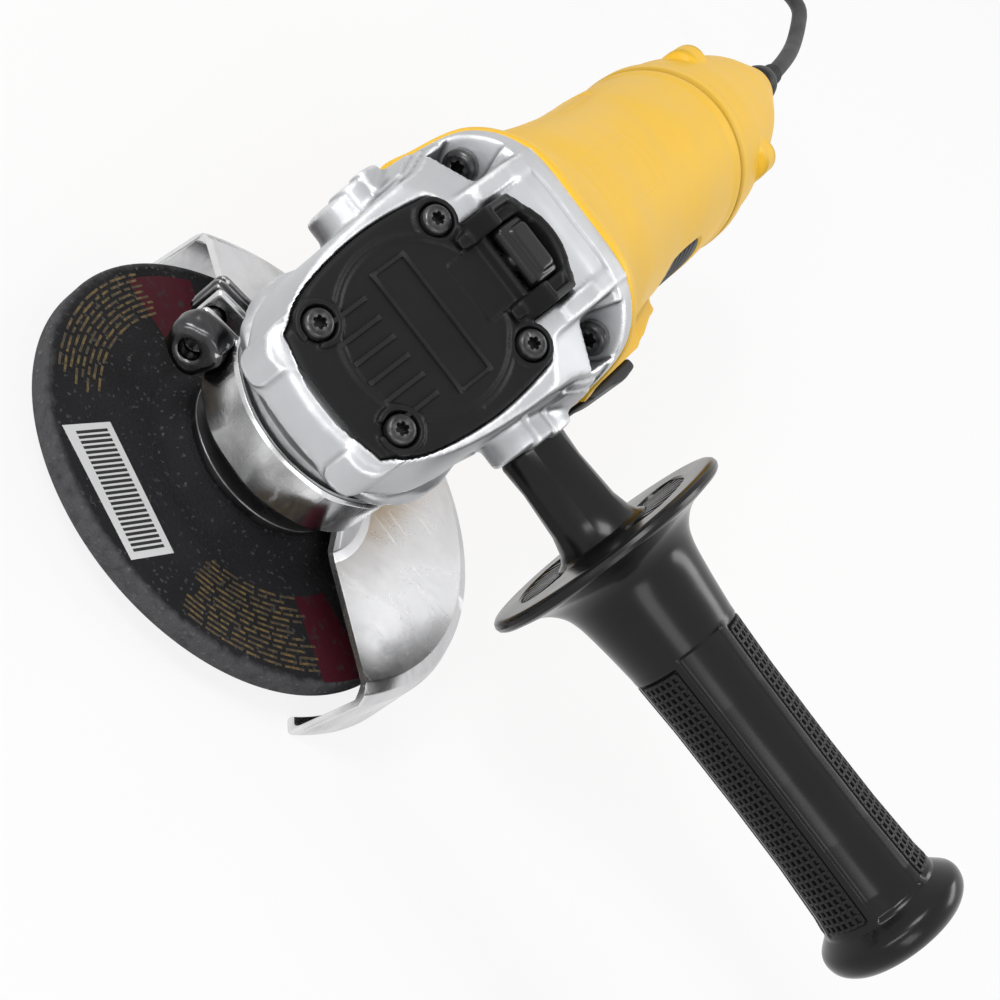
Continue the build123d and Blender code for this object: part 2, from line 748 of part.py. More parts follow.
# ---- motor ---------------------------------------------------------------------------------------


def armature_shaft():
    """Turned motor shaft from the pinion to the rear bearing."""
    front_x = FRONT_BEARING_X + FRONT_BEARING_T
    root_x = GEAR_PITCH_R + (GEAR_ADDENDUM + TIP_GAP) * sin(radians(PINION_ANGLE))
    return turned([
        (0, REAR_BEARING_X + 0.3),
        (REAR_SHAFT_R, REAR_BEARING_X + 0.3),
        (REAR_SHAFT_R, REAR_BEARING_X + REAR_BEARING_T),
        (SHAFT_R, REAR_BEARING_X + REAR_BEARING_T),
        (SHAFT_R, -root_x - 1.6),
        (SHAFT_R - 1.5, -root_x - 1.6),
        (SHAFT_R - 1.5, -root_x + 3.6),
        (0, -root_x + 3.6),
    ], Axis.X)


def front_bearing():
    """Ball bearing of the armature in the gear case."""
    return along_x(ring_bearing(SHAFT_R + RUN_FIT, FRONT_BEARING_R, FRONT_BEARING_T), FRONT_BEARING_X)


def rear_bearing():
    """Ball bearing of the armature in the housing's rear spider."""
    return along_x(ring_bearing(REAR_SHAFT_R + RUN_FIT, REAR_BEARING_R, REAR_BEARING_T), REAR_BEARING_X)


def fan():
    """Radial cooling fan behind the front bearing."""
    hub = turned([
        (SHAFT_R + SEAT_FIT, FAN_X - FAN_T),
        (9.0, FAN_X - FAN_T),
        (9.0, FAN_X - 3.0),
        (FAN_R, FAN_X - 1.6),
        (FAN_R, FAN_X),
        (9.0, FAN_X),
        (SHAFT_R + SEAT_FIT, FAN_X),
    ], Axis.X)
    blades = []
    for n in range(FAN_BLADES):
        blade = block((FAN_X - FAN_T, FAN_X - 1.0), (8.4, FAN_R - 0.6), (-0.8, 0.8))
        blades.append(Rot(360 * n / FAN_BLADES, 0, 0) * Pos(0, 0, 3.0) * blade)
    disc = rod(FAN_R, FAN_T, FAN_X - FAN_T)
    return hub + (Compound(blades) & disc)


def baffle():
    """Fan shroud between the fan and the stator."""
    return turned([
        (13.5, FAN_X - FAN_T - 2.8),
        (FAN_R + 1.0, FAN_X - FAN_T - 2.8),
        (FAN_R + 1.0, FAN_X - FAN_T - 0.8),
        (FAN_R - 4.0, FAN_X - FAN_T - 0.8),
        (13.5, FAN_X - FAN_T - 1.6),
    ], Axis.X)


def armature_core():
    """Laminated armature core with winding slots."""
    core = rod(CORE_R, CORE_L, CORE_X)
    core -= rod(SHAFT_R + SEAT_FIT, CORE_L + 2, CORE_X - 1)
    slots = []
    for n in range(12):
        slots.append(Rot(30 * n, 0, 0) * block((CORE_X - 1, CORE_X + CORE_L + 1), (8.6, CORE_R + 1), (-1.1, 1.1)))
    return core.cut(*slots)


def armature_windings():
    """Copper end turns at both ends of the core."""
    bore = SHAFT_R + SEAT_FIT
    front = CORE_X + CORE_L
    ends = []
    for low, high in ((front, front + 6.0), (CORE_X - 9.0, CORE_X)):
        ends.append(turned([
            (bore, low),
            (CORE_R - 3.6, low),
            (CORE_R - 1.6, low + 2.0),
            (CORE_R - 1.6, high - 2.0),
            (CORE_R - 2.4, high),
            (bore, high),
        ], Axis.X))
    return Compound(ends)


def commutator():
    """Commutator with segment grooves."""
    drum = rod(COMMUTATOR_R, COMMUTATOR_L, COMMUTATOR_X) - rod(SHAFT_R + SEAT_FIT, COMMUTATOR_L + 2, COMMUTATOR_X - 1)
    grooves = []
    for n in range(24):
        limits = ((COMMUTATOR_X - 1, COMMUTATOR_X + COMMUTATOR_L - 3), (COMMUTATOR_R - 0.7, COMMUTATOR_R + 1), (-0.25, 0.25))
        grooves.append(Rot(15 * n, 0, 0) * block(*limits))
    return drum.cut(*grooves)


def stator_core():
    """Stator stack with two pole arcs."""
    stack = rod(STATOR_R, CORE_L, CORE_X) - rod(STATOR_R - 4.0, CORE_L + 2, CORE_X - 1)
    pole = rod(STATOR_R - 3.0, CORE_L, CORE_X) & block((CORE_X, CORE_X + CORE_L), (-13.0, 13.0), (-40, 40))
    return stack + pole - rod(CORE_R + AIR_GAP, CORE_L + 2, CORE_X - 1)


def stator_windings():
    """Field coils beside the poles, standing out at both ends."""
    inner = CORE_R + AIR_GAP + 0.6
    coils = turned([
        (inner, CORE_X - 7.0),
        (STATOR_R - 4.1, CORE_X - 7.0),
        (STATOR_R - 4.1, CORE_X + CORE_L + 6.0),
        (inner, CORE_X + CORE_L + 6.0),
    ], Axis.X)
    window = block((CORE_X - 0.02, CORE_X + CORE_L + 0.02), (-13.1, 13.1), (-40, 40))
    return coils - window


def brush_parts(part):
    """One kind of brush piece on both sides of the commutator."""
    x = COMMUTATOR_X + COMMUTATOR_L / 2 - 1.5
    near = COMMUTATOR_R + 0.1
    shapes = []
    for turn in (0, 180):
        along, across = BRUSH[0] / 2, BRUSH[1] / 2
        if part == "brush":
            shape = block((x - along, x + along), (-across, across), (near, near + BRUSH_L))
            shape -= Rot(0, 90, 0) * Pos(0, 0, x) * Cylinder(near, 30.0)
        elif part == "holder":
            shape = block((x - along - 1.3, x + along + 1.3), (-across - 1.3, across + 1.3), (near + 2.4, BARREL_R - 3.8))
            shape -= block((x - along - 0.05, x + along + 0.05), (-across - 0.05, across + 0.05), (0, BARREL_R - 4.8))
        else:
            shape = block((x - 2.2, x + 2.2), (-2.2, 2.2), (near + BRUSH_L, BARREL_R - 4.85))
        shapes.append(Rot(turn, 0, 0) * shape)
    return Compound(shapes)


def brushes():
    """Two carbon brushes."""
    return brush_parts("brush")


def brush_holders():
    """Two brush holders."""
    return brush_parts("holder")


def brush_springs():
    """Two brush springs, drawn as plain blocks."""
    return brush_parts("spring")


# ---- housing -------------------------------------------------------------------------------------


def round_face(x, radius, rise=0.0):
    """Round section of the housing."""
    return Plane(origin=(x, 0, rise), z_dir=(1, 0, 0)) * Circle(radius)


BARREL = (
    (-62.0, 33.0),
    (-84.0, 31.2),
    (-104.0, 29.3),
    (-122.0, BARREL_R),
    (-150.0, BARREL_R),
    (REAR_SPLIT, BARREL_R - 0.7),
)
TAIL = (
    (REAR_SPLIT, BARREL_R - 0.7, 0.0),
    (-192.0, 26.4, 0.1),
    (-206.0, 25.0, 0.5),
    (-220.0, 22.8, 1.6),
    (-233.0, 19.2, 3.6),
    (-244.0, 13.8, 6.4),
    (REAR_END, 7.8, TAIL_RISE),
)


def barrel_body(wall=0.0):
    """Outside of the motor housing, or its inside when a wall is given."""
    start = -CASE_REAR + (0.5 if wall else 0.0)
    faces = [flange_face(start, RIM_GROW - wall)]
    faces += [round_face(x, radius - wall) for x, radius in BARREL]
    return loft(faces)


def tail_body(wall=0.0):
    """Outside of the rear cover, or its inside when a wall is given."""
    faces = [round_face(x, radius - wall, rise) for x, radius, rise in TAIL]
    return loft(faces)


def motor_housing():
    """Yellow housing round the motor: flared front, barrel, rear spider, switch pad."""
    shell = barrel_body()
    inside = rod(FAN_R + 1.2, 20.0, -CASE_REAR - 19.5)
    inside += rod(STATOR_R + SEAT_FIT, 60.0, CORE_X - 2.0)
    inside += rod(BARREL_R - 3.0, CORE_X - REAR_BEARING_X - 14.0, REAR_BEARING_X + 12.0)
    inside += rod(BARREL_R - 3.0, 12.0, REAR_SPLIT - 1.0)
    shell -= inside
    shell -= rod(REAR_BEARING_R + SEAT_FIT, 20.0, REAR_BEARING_X)
    for turn in (45, 135, 225, 315):
        shell -= Rot(turn, 0, 0) * rod(4.5, 16.0, REAR_BEARING_X - 6.0, 18.0)
    lug_x = -CASE_REAR
    for sign in (-1, 1):
        shell += rod(4.0, 18.0, lug_x - 18.0, sign * FLANGE_SCREW[0], FLANGE_SCREW[1]) & barrel_body()
        shell -= rod(2.25, 17.0, lug_x - 16.0, sign * FLANGE_SCREW[0], FLANGE_SCREW[1])
    shell += switch_pad()
    slot_x = (STEM[0] - 0.3, STEM[1] + SLIDER_TRAVEL + 0.3)
    shell -= block(slot_x, (26.0, 40.0), (-4.3, 4.3))
    half = SLIDER_W / 4 + 0.3
    shell -= block((REAR_SPLIT - 1.0, slot_x[1]), (20.0, LINK_Y + LINK_T + 0.3), (-half, half))
    for sign in (-1, 1):
        shell -= side_panel_shape(sign, 0.02)
    return shell


def switch_pad():
    """Raised pad that the slide switch runs on, with a ramp behind it."""
    half = SLIDER_W / 2 + 2.5
    front = -CASE_REAR - 0.4
    rear = SLIDER_X - SLIDER_L / 2 - 3.0
    top = SLIDER_BASE - 0.4
    side = Polyline(
        Vector(front, 31.0, 0),
        Vector(front, top, 0),
        Vector(rear, top, 0),
        Vector(rear - 22.0, 30.6, 0),
        Vector(rear - 22.0, 29.0, 0),
        Vector(-62.0, 29.0, 0),
        close=True,
    )
    pad = Pos(0, 0, -half) * extrude(make_face(side), 2 * half)
    roof = block((-120.0, 0), (28.0, top + 1), (-half, half))
    return pad & chamfer(roof.edges().filter_by(Axis.X).sort_by(Axis.Y)[-2:], 2.0).solid()


def side_panel_shape(sign, grow=0.0):
    """Long grip inset let into the barrel's flank."""
    low = -146.0 - grow
    high = -112.0 + grow
    slab = block((low, high), (-40, 40), (1.0 - grow, 14.0 + grow))
    skin = rod(BARREL_R - 0.1 + grow, 60.0, -160.0) - rod(BARREL_R - 1.2 - grow, 62.0, -161.0)
    half = block((-200, 0), sorted((0, sign * 60)), (0, 60))
    return slab & skin & half


def side_panels():
    """Two grip insets."""
    return Compound([side_panel_shape(sign) for sign in (-1, 1)])


def rear_cover():
    """Yellow tail with the screw bumps and the cord's opening."""
    shell = tail_body()
    shell -= rod(BARREL_R - 3.0, 22.0, REAR_SPLIT - 20.0)
    shell -= rod(16.0, 46.0, REAR_SPLIT - 40.0)
    ridge = turned([
        (BARREL_R - 3.0, REAR_SPLIT),
        (BARREL_R - 0.5, REAR_SPLIT),
        (BARREL_R + 0.2, REAR_SPLIT - 2.0),
        (BARREL_R + 0.2, REAR_SPLIT - 4.0),
        (BARREL_R - 1.2, REAR_SPLIT - 7.0),
        (BARREL_R - 3.0, REAR_SPLIT - 7.0),
    ], Axis.X)
    shell += ridge
    for sign in (-1, 1):
        bump = Pos(-204.0, sign * 17.2, 16.2) * Rot(0, 90, 0) * Cylinder(5.4, 12.0)
        bump = fillet(bump.edges(), 2.4)
        shell += bump
        shell -= rod(3.2, 6.0, -212.0, sign * 17.2, 16.2)
        shell -= rod(1.7, 30.0, -208.0, sign * 17.2, 16.2)
    shell -= rod(CORD_R + 1.5 + SEAT_FIT, 60.0, REAR_END - 2.0, 0, GLAND_Z)
    shell -= block((LINK_REAR - 4.0, REAR_SPLIT + 1.0), (12.0, LINK_Y + LINK_T + 0.4), (-5.0, 5.0))
    return shell


def rear_screws():
    """Two screws that hold the rear cover."""
    screws = []
    for sign in (-1, 1):
        spot = Pos(-206.2, sign * 17.2, 16.2) * Rot(0, -90, 0)
        screws.append(spot * pan_screw(1.6, 14.0, 3.0, 2.2))
    return Compound(screws)


def switch_slider():
    """Slide switch button on the housing's side, with a stepped thumb rest."""
    x0 = SLIDER_X - SLIDER_L / 2
    x1 = SLIDER_X + SLIDER_L / 2
    half = SLIDER_W / 2
    profile = Polyline(
        Vector(x0, SLIDER_BASE, 0),
        Vector(x1, SLIDER_BASE, 0),
        Vector(x1 - 2.0, SLIDER_BASE + 1.4, 0),
        Vector(x1 - 14.0, SLIDER_BASE + 2.0, 0),
        Vector(x0 + 8.0, SLIDER_OUT, 0),
        Vector(x0 + 1.0, SLIDER_OUT - 1.0, 0),
        close=True,
    )
    cap = Pos(0, 0, -half) * extrude(make_face(profile), SLIDER_W)
    stem = block(STEM, (LINK_Y + LINK_T, SLIDER_BASE), (-4.0, 4.0))
    return cap + stem


def switch_link():
    """Flat rod that carries the slider's travel along the stator back to the switch."""
    low = -SLIDER_W / 4
    bar = block((LINK_REAR, STEM[1]), (LINK_Y, LINK_Y + LINK_T), (low, -low))
    foot = block((LINK_REAR, LINK_REAR + 3.0), (MODULE_SIDE + 0.3, LINK_Y + LINK_T), (low, -low))
    return bar + foot


def switch_module():
    """Switch box behind the stator."""
    return block((-212.0, -182.0), (-MODULE_SIDE, MODULE_SIDE), (-10.0, 10.0))


# ---- guard ---------------------------------------------------------------------------------------


def guard():
    """Pressed wheel guard: collar cone, plate, rounded shoulder, skirt and inward lip."""
    inner = COLLAR_R + BAND_GAP + 0.1
    outer = GUARD_R
    t = GUARD_T
    bend = 4.0
    profile = [
        (inner, -BAND_END + 4.4),
        (inner + t - 0.4, -BAND_END + 4.4),
        (inner + t - 0.4, -BAND_END - 0.4),
        (inner + 5.6, -GUARD_PLATE + 0.6),
        (inner + 8.0, -GUARD_PLATE),
        (outer - bend, -GUARD_PLATE),
        (outer - bend * 0.3, -GUARD_PLATE - bend * 0.3),
        (outer, -GUARD_PLATE - bend),
        (outer, -GUARD_LIP + 0.8),
        (outer - 0.8, -GUARD_LIP),
        (outer - GUARD_LIP_W, -GUARD_LIP),
        (outer - GUARD_LIP_W, -GUARD_LIP + t),
        (outer - t, -GUARD_LIP + t),
        (outer - t, -GUARD_PLATE - bend),
        (outer - t - bend * 0.3, -GUARD_PLATE - t - bend * 0.3),
        (outer - bend - 0.4, -GUARD_PLATE - t),
        (inner + 7.8, -GUARD_PLATE - t),
        (inner + 4.6, -GUARD_PLATE - t + 0.9),
        (inner, -BAND_END - 1.6),
    ]
    outline = make_face(Polyline(*[Vector(r, 0, z) for r, z in profile], close=True))
    shell = Rot(0, 0, GUARD_FROM) * revolve(outline, Axis.Z, GUARD_SWEEP)
    lead = GUARD_FROM - GUARD_END_SLANT
    wedge = Rot(0, 0, lead) * revolve(outline, Axis.Z, GUARD_END_SLANT + 0.5)
    corner = (GUARD_R + 2) * cos(radians(GUARD_END_SLANT))
    cutter = make_face(Polyline(
        Vector(corner, 0, -GUARD_LIP - 1),
        Vector(corner, (GUARD_R + 2) * sin(radians(GUARD_END_SLANT)) + 4, -GUARD_LIP - 1),
        Vector(corner, (GUARD_R + 2) * sin(radians(GUARD_END_SLANT)) + 4, -GUARD_PLATE - bend),
        close=True,
    ))
    keep = Rot(0, 0, lead) * Pos(-30, 0, 0) * extrude(cutter, 60, dir=(1, 0, 0))
    return shell + (wedge & keep)


def clamp_band():
    """Clamp band round the guard's collar, ending in two upright ears."""
    inner = COLLAR_R + BAND_GAP + GUARD_T - 0.3
    band = post(inner + BAND_T, -BAND_END + 0.1, -BAND_TOP) - post(inner, -BAND_END, -BAND_TOP + 1)
    gap = Rot(0, 0, CLAMP_ANGLE) * block((inner - 3, inner + 20), (-CLAMP_GAP / 2, CLAMP_GAP / 2), (-60, 0))
    ears = []
    for sign in (-1, 1):
        limits = sorted((sign * CLAMP_GAP / 2, sign * (CLAMP_GAP / 2 + BAND_T)))
        ears.append(Rot(0, 0, CLAMP_ANGLE) * block((inner + 0.6, inner + CLAMP_OUT + 4.0), limits, (-BAND_END + 1.0, -BAND_TOP - 0.6)))
    band = band - gap + ears[0] + ears[1]
    middle = (-BAND_END - BAND_TOP) / 2
    bore = Rot(0, 0, CLAMP_ANGLE) * Pos(inner + CLAMP_OUT, 0, middle) * Rot(90, 0, 0) * Cylinder(2.6, 30.0)
    return band - bore


def clamp_screw():
    """Screw that draws the two ears together, with a chunky hexagon head."""
    inner = COLLAR_R + BAND_GAP + GUARD_T - 0.3
    middle = (-BAND_END - BAND_TOP) / 2
    place = Rot(0, 0, CLAMP_ANGLE) * Pos(inner + CLAMP_OUT, 0, middle) * Rot(90, 0, 0)
    shank = Cylinder(2.5, CLAMP_GAP + 2 * BAND_T + 6.0)
    head = Pos(0, 0, CLAMP_GAP / 2 + BAND_T) * extrude(RegularPolygon(5.4, 6), 6.0)
    return place * (shank + head)


def clamp_nut_block():
    """Square nut on the far ear."""
    inner = COLLAR_R + BAND_GAP + GUARD_T - 0.3
    middle = (-BAND_END - BAND_TOP) / 2
    place = Rot(0, 0, CLAMP_ANGLE) * Pos(inner + CLAMP_OUT, 0, middle) * Rot(-90, 0, 0)
    nut = Pos(0, 0, CLAMP_GAP / 2 + BAND_T) * extrude(RegularPolygon(5.0, 6), 3.6)
    return place * (nut - Cylinder(2.52, 60.0))


# ---- side handle ---------------------------------------------------------------------------------


def side_handle():
    """Moulded side handle: neck, hand guard with ribbed windows, waisted grip, round end."""
    y0 = BOSS_FACE + 0.02
    profile = [
        Line((0, y0), (NECK_GRIP_R - 1.0, y0)),
        Line((NECK_GRIP_R - 1.0, y0), (NECK_GRIP_R - 0.4, y0 + 1.2)),
        Line((NECK_GRIP_R - 0.4, y0 + 1.2), (NECK_GRIP_R + 0.4, HAND_GUARD_Y - 6.0)),
        Spline((NECK_GRIP_R + 0.4, HAND_GUARD_Y - 6.0), (NECK_GRIP_R + 1.6, HAND_GUARD_Y - 2.6),
               (NECK_GRIP_R + 4.0, HAND_GUARD_Y - 1.6)),
        Line((NECK_GRIP_R + 4.0, HAND_GUARD_Y - 1.6), (HAND_GUARD_R - 1.4, HAND_GUARD_Y - 1.6)),
        ThreePointArc((HAND_GUARD_R - 1.4, HAND_GUARD_Y - 1.6), (HAND_GUARD_R, HAND_GUARD_Y),
                      (HAND_GUARD_R - 1.4, HAND_GUARD_Y + 1.6)),
        Spline((HAND_GUARD_R - 1.4, HAND_GUARD_Y + 1.6), (23.0, HAND_GUARD_Y + 3.4), (17.0, HAND_GUARD_Y + 8.6),
               (15.8, HAND_GUARD_Y + 17.0), (GRIP_R + 0.2, HAND_GUARD_Y + 32.0), (GRIP_R, HAND_GUARD_Y + 56.0),
               (GRIP_R + 0.3, HANDLE_END - 22.0)),
        Spline((GRIP_R + 0.3, HANDLE_END - 22.0), (GRIP_R + 1.2, HANDLE_END - 15.0), (HANDLE_END_R - 0.6, HANDLE_END - 9.5),
               (HANDLE_END_R, HANDLE_END - 6.0), (HANDLE_END_R - 2.2, HANDLE_END - 1.6), (HANDLE_END_R - 6.0, HANDLE_END)),
        Line((HANDLE_END_R - 6.0, HANDLE_END), (0, HANDLE_END)),
        Line((0, HANDLE_END), (0, y0)),
    ]
    body = revolve(make_face(profile), Axis.Y)
    low = HAND_GUARD_Y - 4.0
    window = Rot(-90, 0, 0) * extrude(SlotArc(CenterArc((0, 0), 18.2, -30, 60), 11.0), 5.2)
    for turn in (75, 255):
        opening = Pos(0, low, 0) * window
        for slat in range(-3, 4):
            opening -= Rot(0, 8.0 * slat, 0) * block((11.0, 29.0), (low - 1, HAND_GUARD_Y + 0.6), (-0.7, 0.7))
        body -= Rot(0, turn, 0) * opening
    for turn in (0, 90, 180, 270):
        body -= Rot(0, turn + 45, 0) * block((GRIP_R - 0.5, GRIP_R + 5), (HAND_GUARD_Y + 36, HANDLE_END - 24), (-5, 5))
    body -= Pos(0, y0 - 1, 0) * Rot(-90, 0, 0) * Cylinder(STUD_R, 31.0, align=(Align.CENTER, Align.CENTER, Align.MIN))
    return Pos(BOSS_X, 0, 0.6) * body


def handle_stud():
    """Threaded steel stud moulded into the handle and screwed into the case."""
    length = STUD_IN + 30.0
    stud = Pos(BOSS_X, BOSS_FACE - STUD_IN, 0.6) * Rot(-90, 0, 0)
    return stud * Cylinder(STUD_R - 0.02, length, align=(Align.CENTER, Align.CENTER, Align.MIN))


# ---- cord ----------------------------------------------------------------------------------------


def cord_protector():
    """Moulded strain relief: round bulb at the housing, then a short taper on to the cord."""
    x = REAR_END
    points = [
        (CORD_R, x + 12.0),
        (CORD_R + 1.5, x + 12.0),
        (CORD_R + 1.5, x),
        (GLAND_R, x),
        (GLAND_R + 0.3, x - 3.0),
        (GLAND_R, x - 6.6),
        (GLAND_R - 1.6, x - 9.6),
        (CORD_R + 1.0, x - 11.4),
        (CORD_R + 0.6, x - GLAND_L + 0.6),
        (CORD_R + 0.1, x - GLAND_L),
        (CORD_R, x - GLAND_L),
    ]
    return Pos(0, 0, GLAND_Z) * turned(points, Axis.X)


CORD_LOW = CORD_R + 0.1 - GUARD_LIP
CORD_ROUTE = (
    (REAR_END - GLAND_L, 0.0, GLAND_Z),
    (REAR_END - GLAND_L - 28.0, -1.2, GLAND_Z - 1.8),
    (-340.0, -7.5, 7.5),
    (-372.0, -15.0, 4.0),
    (-398.0, -36.0, -9.0),
    (-412.0, -64.0, -31.0),
    (-418.0, -92.0, -52.0),
    (-418.0, -118.0, CORD_LOW),
    (-418.0, -142.0, CORD_LOW),
)
COIL_MEAN_R = 30.0
COIL_WIDE = 3
COIL_HIGH = 3
COIL_OUTER_TURN = COIL_MEAN_R + 2 * CORD_R
COIL_CENTRE = (CORD_ROUTE[-1][0] + COIL_OUTER_TURN, CORD_ROUTE[-1][1])
TAIL_OUT = (34.0, 46.0)
PLUG_SIZE = (30.0, 24.0, 13.0)
BLADE = (17.0, 1.5, 6.3)
BLADE_GAP = 12.7


def cord_path():
    """Centre line of the loose stretch: straight runs with arcs as large as the runs allow."""
    points = [Vector(*p) for p in CORD_ROUTE]
    radii = []
    for a, b, c in zip(points, points[1:], points[2:]):
        turn = (b - a).get_angle(c - b)
        shorter = min((b - a).length, (c - b).length)
        radii.append(0.45 * shorter / tan(radians(turn) / 2))
    print("cord radii", [round(r, 1) for r in radii])
    return FilletPolyline(*points, radius=radii)


def cord_run():
    """The loose stretch of cord from the strain relief to the coil."""
    path = cord_path()
    start = Plane(origin=path @ 0, z_dir=path % 0)
    tube = sweep(start * Circle(CORD_R), path)
    print("cord volume", round(tube.volume, 1), "section x length", round(pi * CORD_R**2 * path.length, 1))
    return tube


def cord_coil():
    """Outer shape of the put-away turns, a round ring on the floor."""
    inner = COIL_MEAN_R - COIL_WIDE * CORD_R
    outer = COIL_MEAN_R + COIL_WIDE * CORD_R
    low = CORD_LOW - CORD_R
    ring = post(outer, low, low + 2 * CORD_R * COIL_HIGH) - post(inner, low - 1, low + 2 * CORD_R * COIL_HIGH + 1)
    ring = fillet(ring.edges(), CORD_R)
    return Pos(*COIL_CENTRE, 0) * ring


PLUG_X = COIL_CENTRE[0] + TAIL_OUT[0]
PLUG_Y = COIL_CENTRE[1] - COIL_OUTER_TURN
PLUG_Z = -GUARD_LIP + 0.1 + PLUG_SIZE[2] / 2


def cord_tail():
    """Short end of the cord from the coil into the plug."""
    points = [
        Vector(COIL_CENTRE[0], PLUG_Y, CORD_LOW),
        Vector(COIL_CENTRE[0] + 16.0, PLUG_Y, CORD_LOW),
        Vector(PLUG_X, PLUG_Y, PLUG_Z),
    ]
    path = FilletPolyline(*points, radius=[28.0])
    start = Plane(origin=path @ 0, z_dir=path % 0)
    return sweep(start * Circle(CORD_R), path)


def plug_body():
    """Moulded two-blade plug with a tapered cord grip."""
    length, width, height = PLUG_SIZE
    rear = Plane(origin=(PLUG_X, PLUG_Y, PLUG_Z), z_dir=(1, 0, 0))
    middle = rear.offset(12.0)
    front = rear.offset(12.0 + length)
    grip = loft([rear * Circle(CORD_R + 1.4), middle * RectangleRounded(width * 0.62, height * 0.86, 4.0)])
    head = loft([middle * RectangleRounded(width * 0.62, height * 0.86, 4.0), front * RectangleRounded(width, height, 3.0)])
    return grip + head


def plug_blades():
    """Two flat blades of the plug."""
    x = PLUG_X + 12.0 + PLUG_SIZE[0]
    blades = []
    for sign in (-1, 1):
        y = PLUG_Y + sign * BLADE_GAP / 2
        z = (PLUG_Z - BLADE[2] / 2, PLUG_Z + BLADE[2] / 2)
        blades.append(block((x, x + BLADE[0]), (y - BLADE[1] / 2, y + BLADE[1] / 2), z))
    return Compound(blades)


NODES = {
    "spindle": spindle,
    "bevel_gear": bevel_gear,
    "backing_flange": backing_flange,
    "grinding_wheel": grinding_wheel,
    "clamp_nut": clamp_nut,
    "gear_case": gear_case,
    "gear_case_cover": gear_case_cover,
    "cover_screws": cover_screws,
    "motor_screws": motor_screws,
    "bearing_box": bearing_box,
    "lower_bearing": lower_bearing,
    "bearing_retainer": bearing_retainer,
    "top_bush": top_bush,
    "lock_button": lock_button,
    "lock_pin": lock_pin,
    "lock_spring": lock_spring,
    "armature_shaft": armature_shaft,
    "armature_core": armature_core,
    "armature_windings": armature_windings,
    "commutator": commutator,
    "pinion": pinion,
    "fan": fan,
    "fan_baffle": baffle,
    "front_bearing": front_bearing,
    "rear_bearing": rear_bearing,
    "stator_core": stator_core,
    "stator_windings": stator_windings,
    "brushes": brushes,
    "brush_holders": brush_holders,
    "brush_springs": brush_springs,
    "motor_housing": motor_housing,
    "side_panels": side_panels,
    "rear_cover": rear_cover,
    "rear_screws": rear_screws,
    "switch_slider": switch_slider,
    "switch_link": switch_link,
    "switch_module": switch_module,
    "guard": guard,
    "clamp_band": clamp_band,
    "clamp_screw": clamp_screw,
    "clamp_screw_nut": clamp_nut_block,
    "side_handle": side_handle,
    "handle_stud": handle_stud,
    "cord_protector": cord_protector,
    "cord_run": cord_run,
    "cord_coil": cord_coil,
    "cord_tail": cord_tail,
    "plug_body": plug_body,
    "plug_blades": plug_blades,
}

os.makedirs("parts", exist_ok=True)
for name, make in NODES.items():
    part = Pos(0, 0, SPINDLE_END) * make()
    export_step(part, f"parts/{name}.step")
    print(name, len(part.solids()), "solids", round(sum(solid.volume for solid in part.solids())), "mm3")
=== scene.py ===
import itertools
import math

import bmesh
import bpy
import numpy as np
from mathutils import Matrix, Vector


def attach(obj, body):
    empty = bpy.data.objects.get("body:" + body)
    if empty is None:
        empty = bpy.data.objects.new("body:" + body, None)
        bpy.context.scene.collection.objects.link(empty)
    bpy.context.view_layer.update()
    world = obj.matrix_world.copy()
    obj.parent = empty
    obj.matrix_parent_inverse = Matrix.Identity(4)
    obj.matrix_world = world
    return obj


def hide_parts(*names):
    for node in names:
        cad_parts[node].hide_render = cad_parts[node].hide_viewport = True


bl_info = {
    "name": "Angle grinder",
    "version": (1, 0, 0),
    "blender": (4, 5, 0),
    "location": "View3D > Sidebar > Grinder",
    "description": "Dresses the packed angle grinder with detailed pieces and materials",
    "category": "Object",
}

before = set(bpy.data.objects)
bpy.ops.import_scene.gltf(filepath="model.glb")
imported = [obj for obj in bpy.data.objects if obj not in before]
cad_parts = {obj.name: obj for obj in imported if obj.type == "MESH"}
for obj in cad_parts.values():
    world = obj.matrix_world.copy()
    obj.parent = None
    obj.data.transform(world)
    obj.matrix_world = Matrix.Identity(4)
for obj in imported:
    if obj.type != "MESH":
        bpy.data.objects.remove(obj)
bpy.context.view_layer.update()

MM = 0.001
AXES_HEIGHT = 59.5  # from the spindle's free end up to the motor's axis, in mm
COVER_TILT = math.radians(31.3)
COVER_AT = (-3.4, 25.7)  # x and z of a point on the case's slanted top plane
CASE_REAR = -38.0  # the joint between case and housing
CASE_SPLIT = -10.0  # the joint between case and bearing box
CASE_TOP = 37.5
HANDLE_X, HANDLE_Z = -19.8, 0.6  # where the side handle's axis crosses the case
BUTTON_X = -12.2  # the lock pin's axis
REAR_SCREW = (17.2, 16.2)  # y and z of the tail's screws
FLANGE_SCREW = (24.6, 24.0)  # y and z of the case's screws
COVER_SCREWS = ((-3.4, 17.0), (29.0, 14.0))  # x and y of the cover's screws
GUARD_LIP = -63.0
FLOOR_Z = (GUARD_LIP + AXES_HEIGHT - 0.15) * MM


# ---- places and meshes ----


def spot(x, y, z):
    """A point given in mm about the crossing of the two axes, in the part's frame in metres."""
    return (x * MM, y * MM, (z + AXES_HEIGHT) * MM)


def linked(name, data):
    """A new object at the origin, linked to the scene."""
    made = bpy.data.objects.new(name, data)
    bpy.context.scene.collection.objects.link(made)
    return made


def closed_mesh(name, points, faces, closeness):
    """A mesh from points in metres, with doubled points joined and every face turned outwards."""
    mesh = bpy.data.meshes.new(name)
    mesh.from_pydata(points.tolist(), [], [list(map(int, face)) for face in faces])
    work = bmesh.new()
    work.from_mesh(mesh)
    bmesh.ops.remove_doubles(work, verts=work.verts, dist=closeness)
    bmesh.ops.recalc_face_normals(work, faces=work.faces)
    work.to_mesh(mesh)
    work.free()
    return mesh


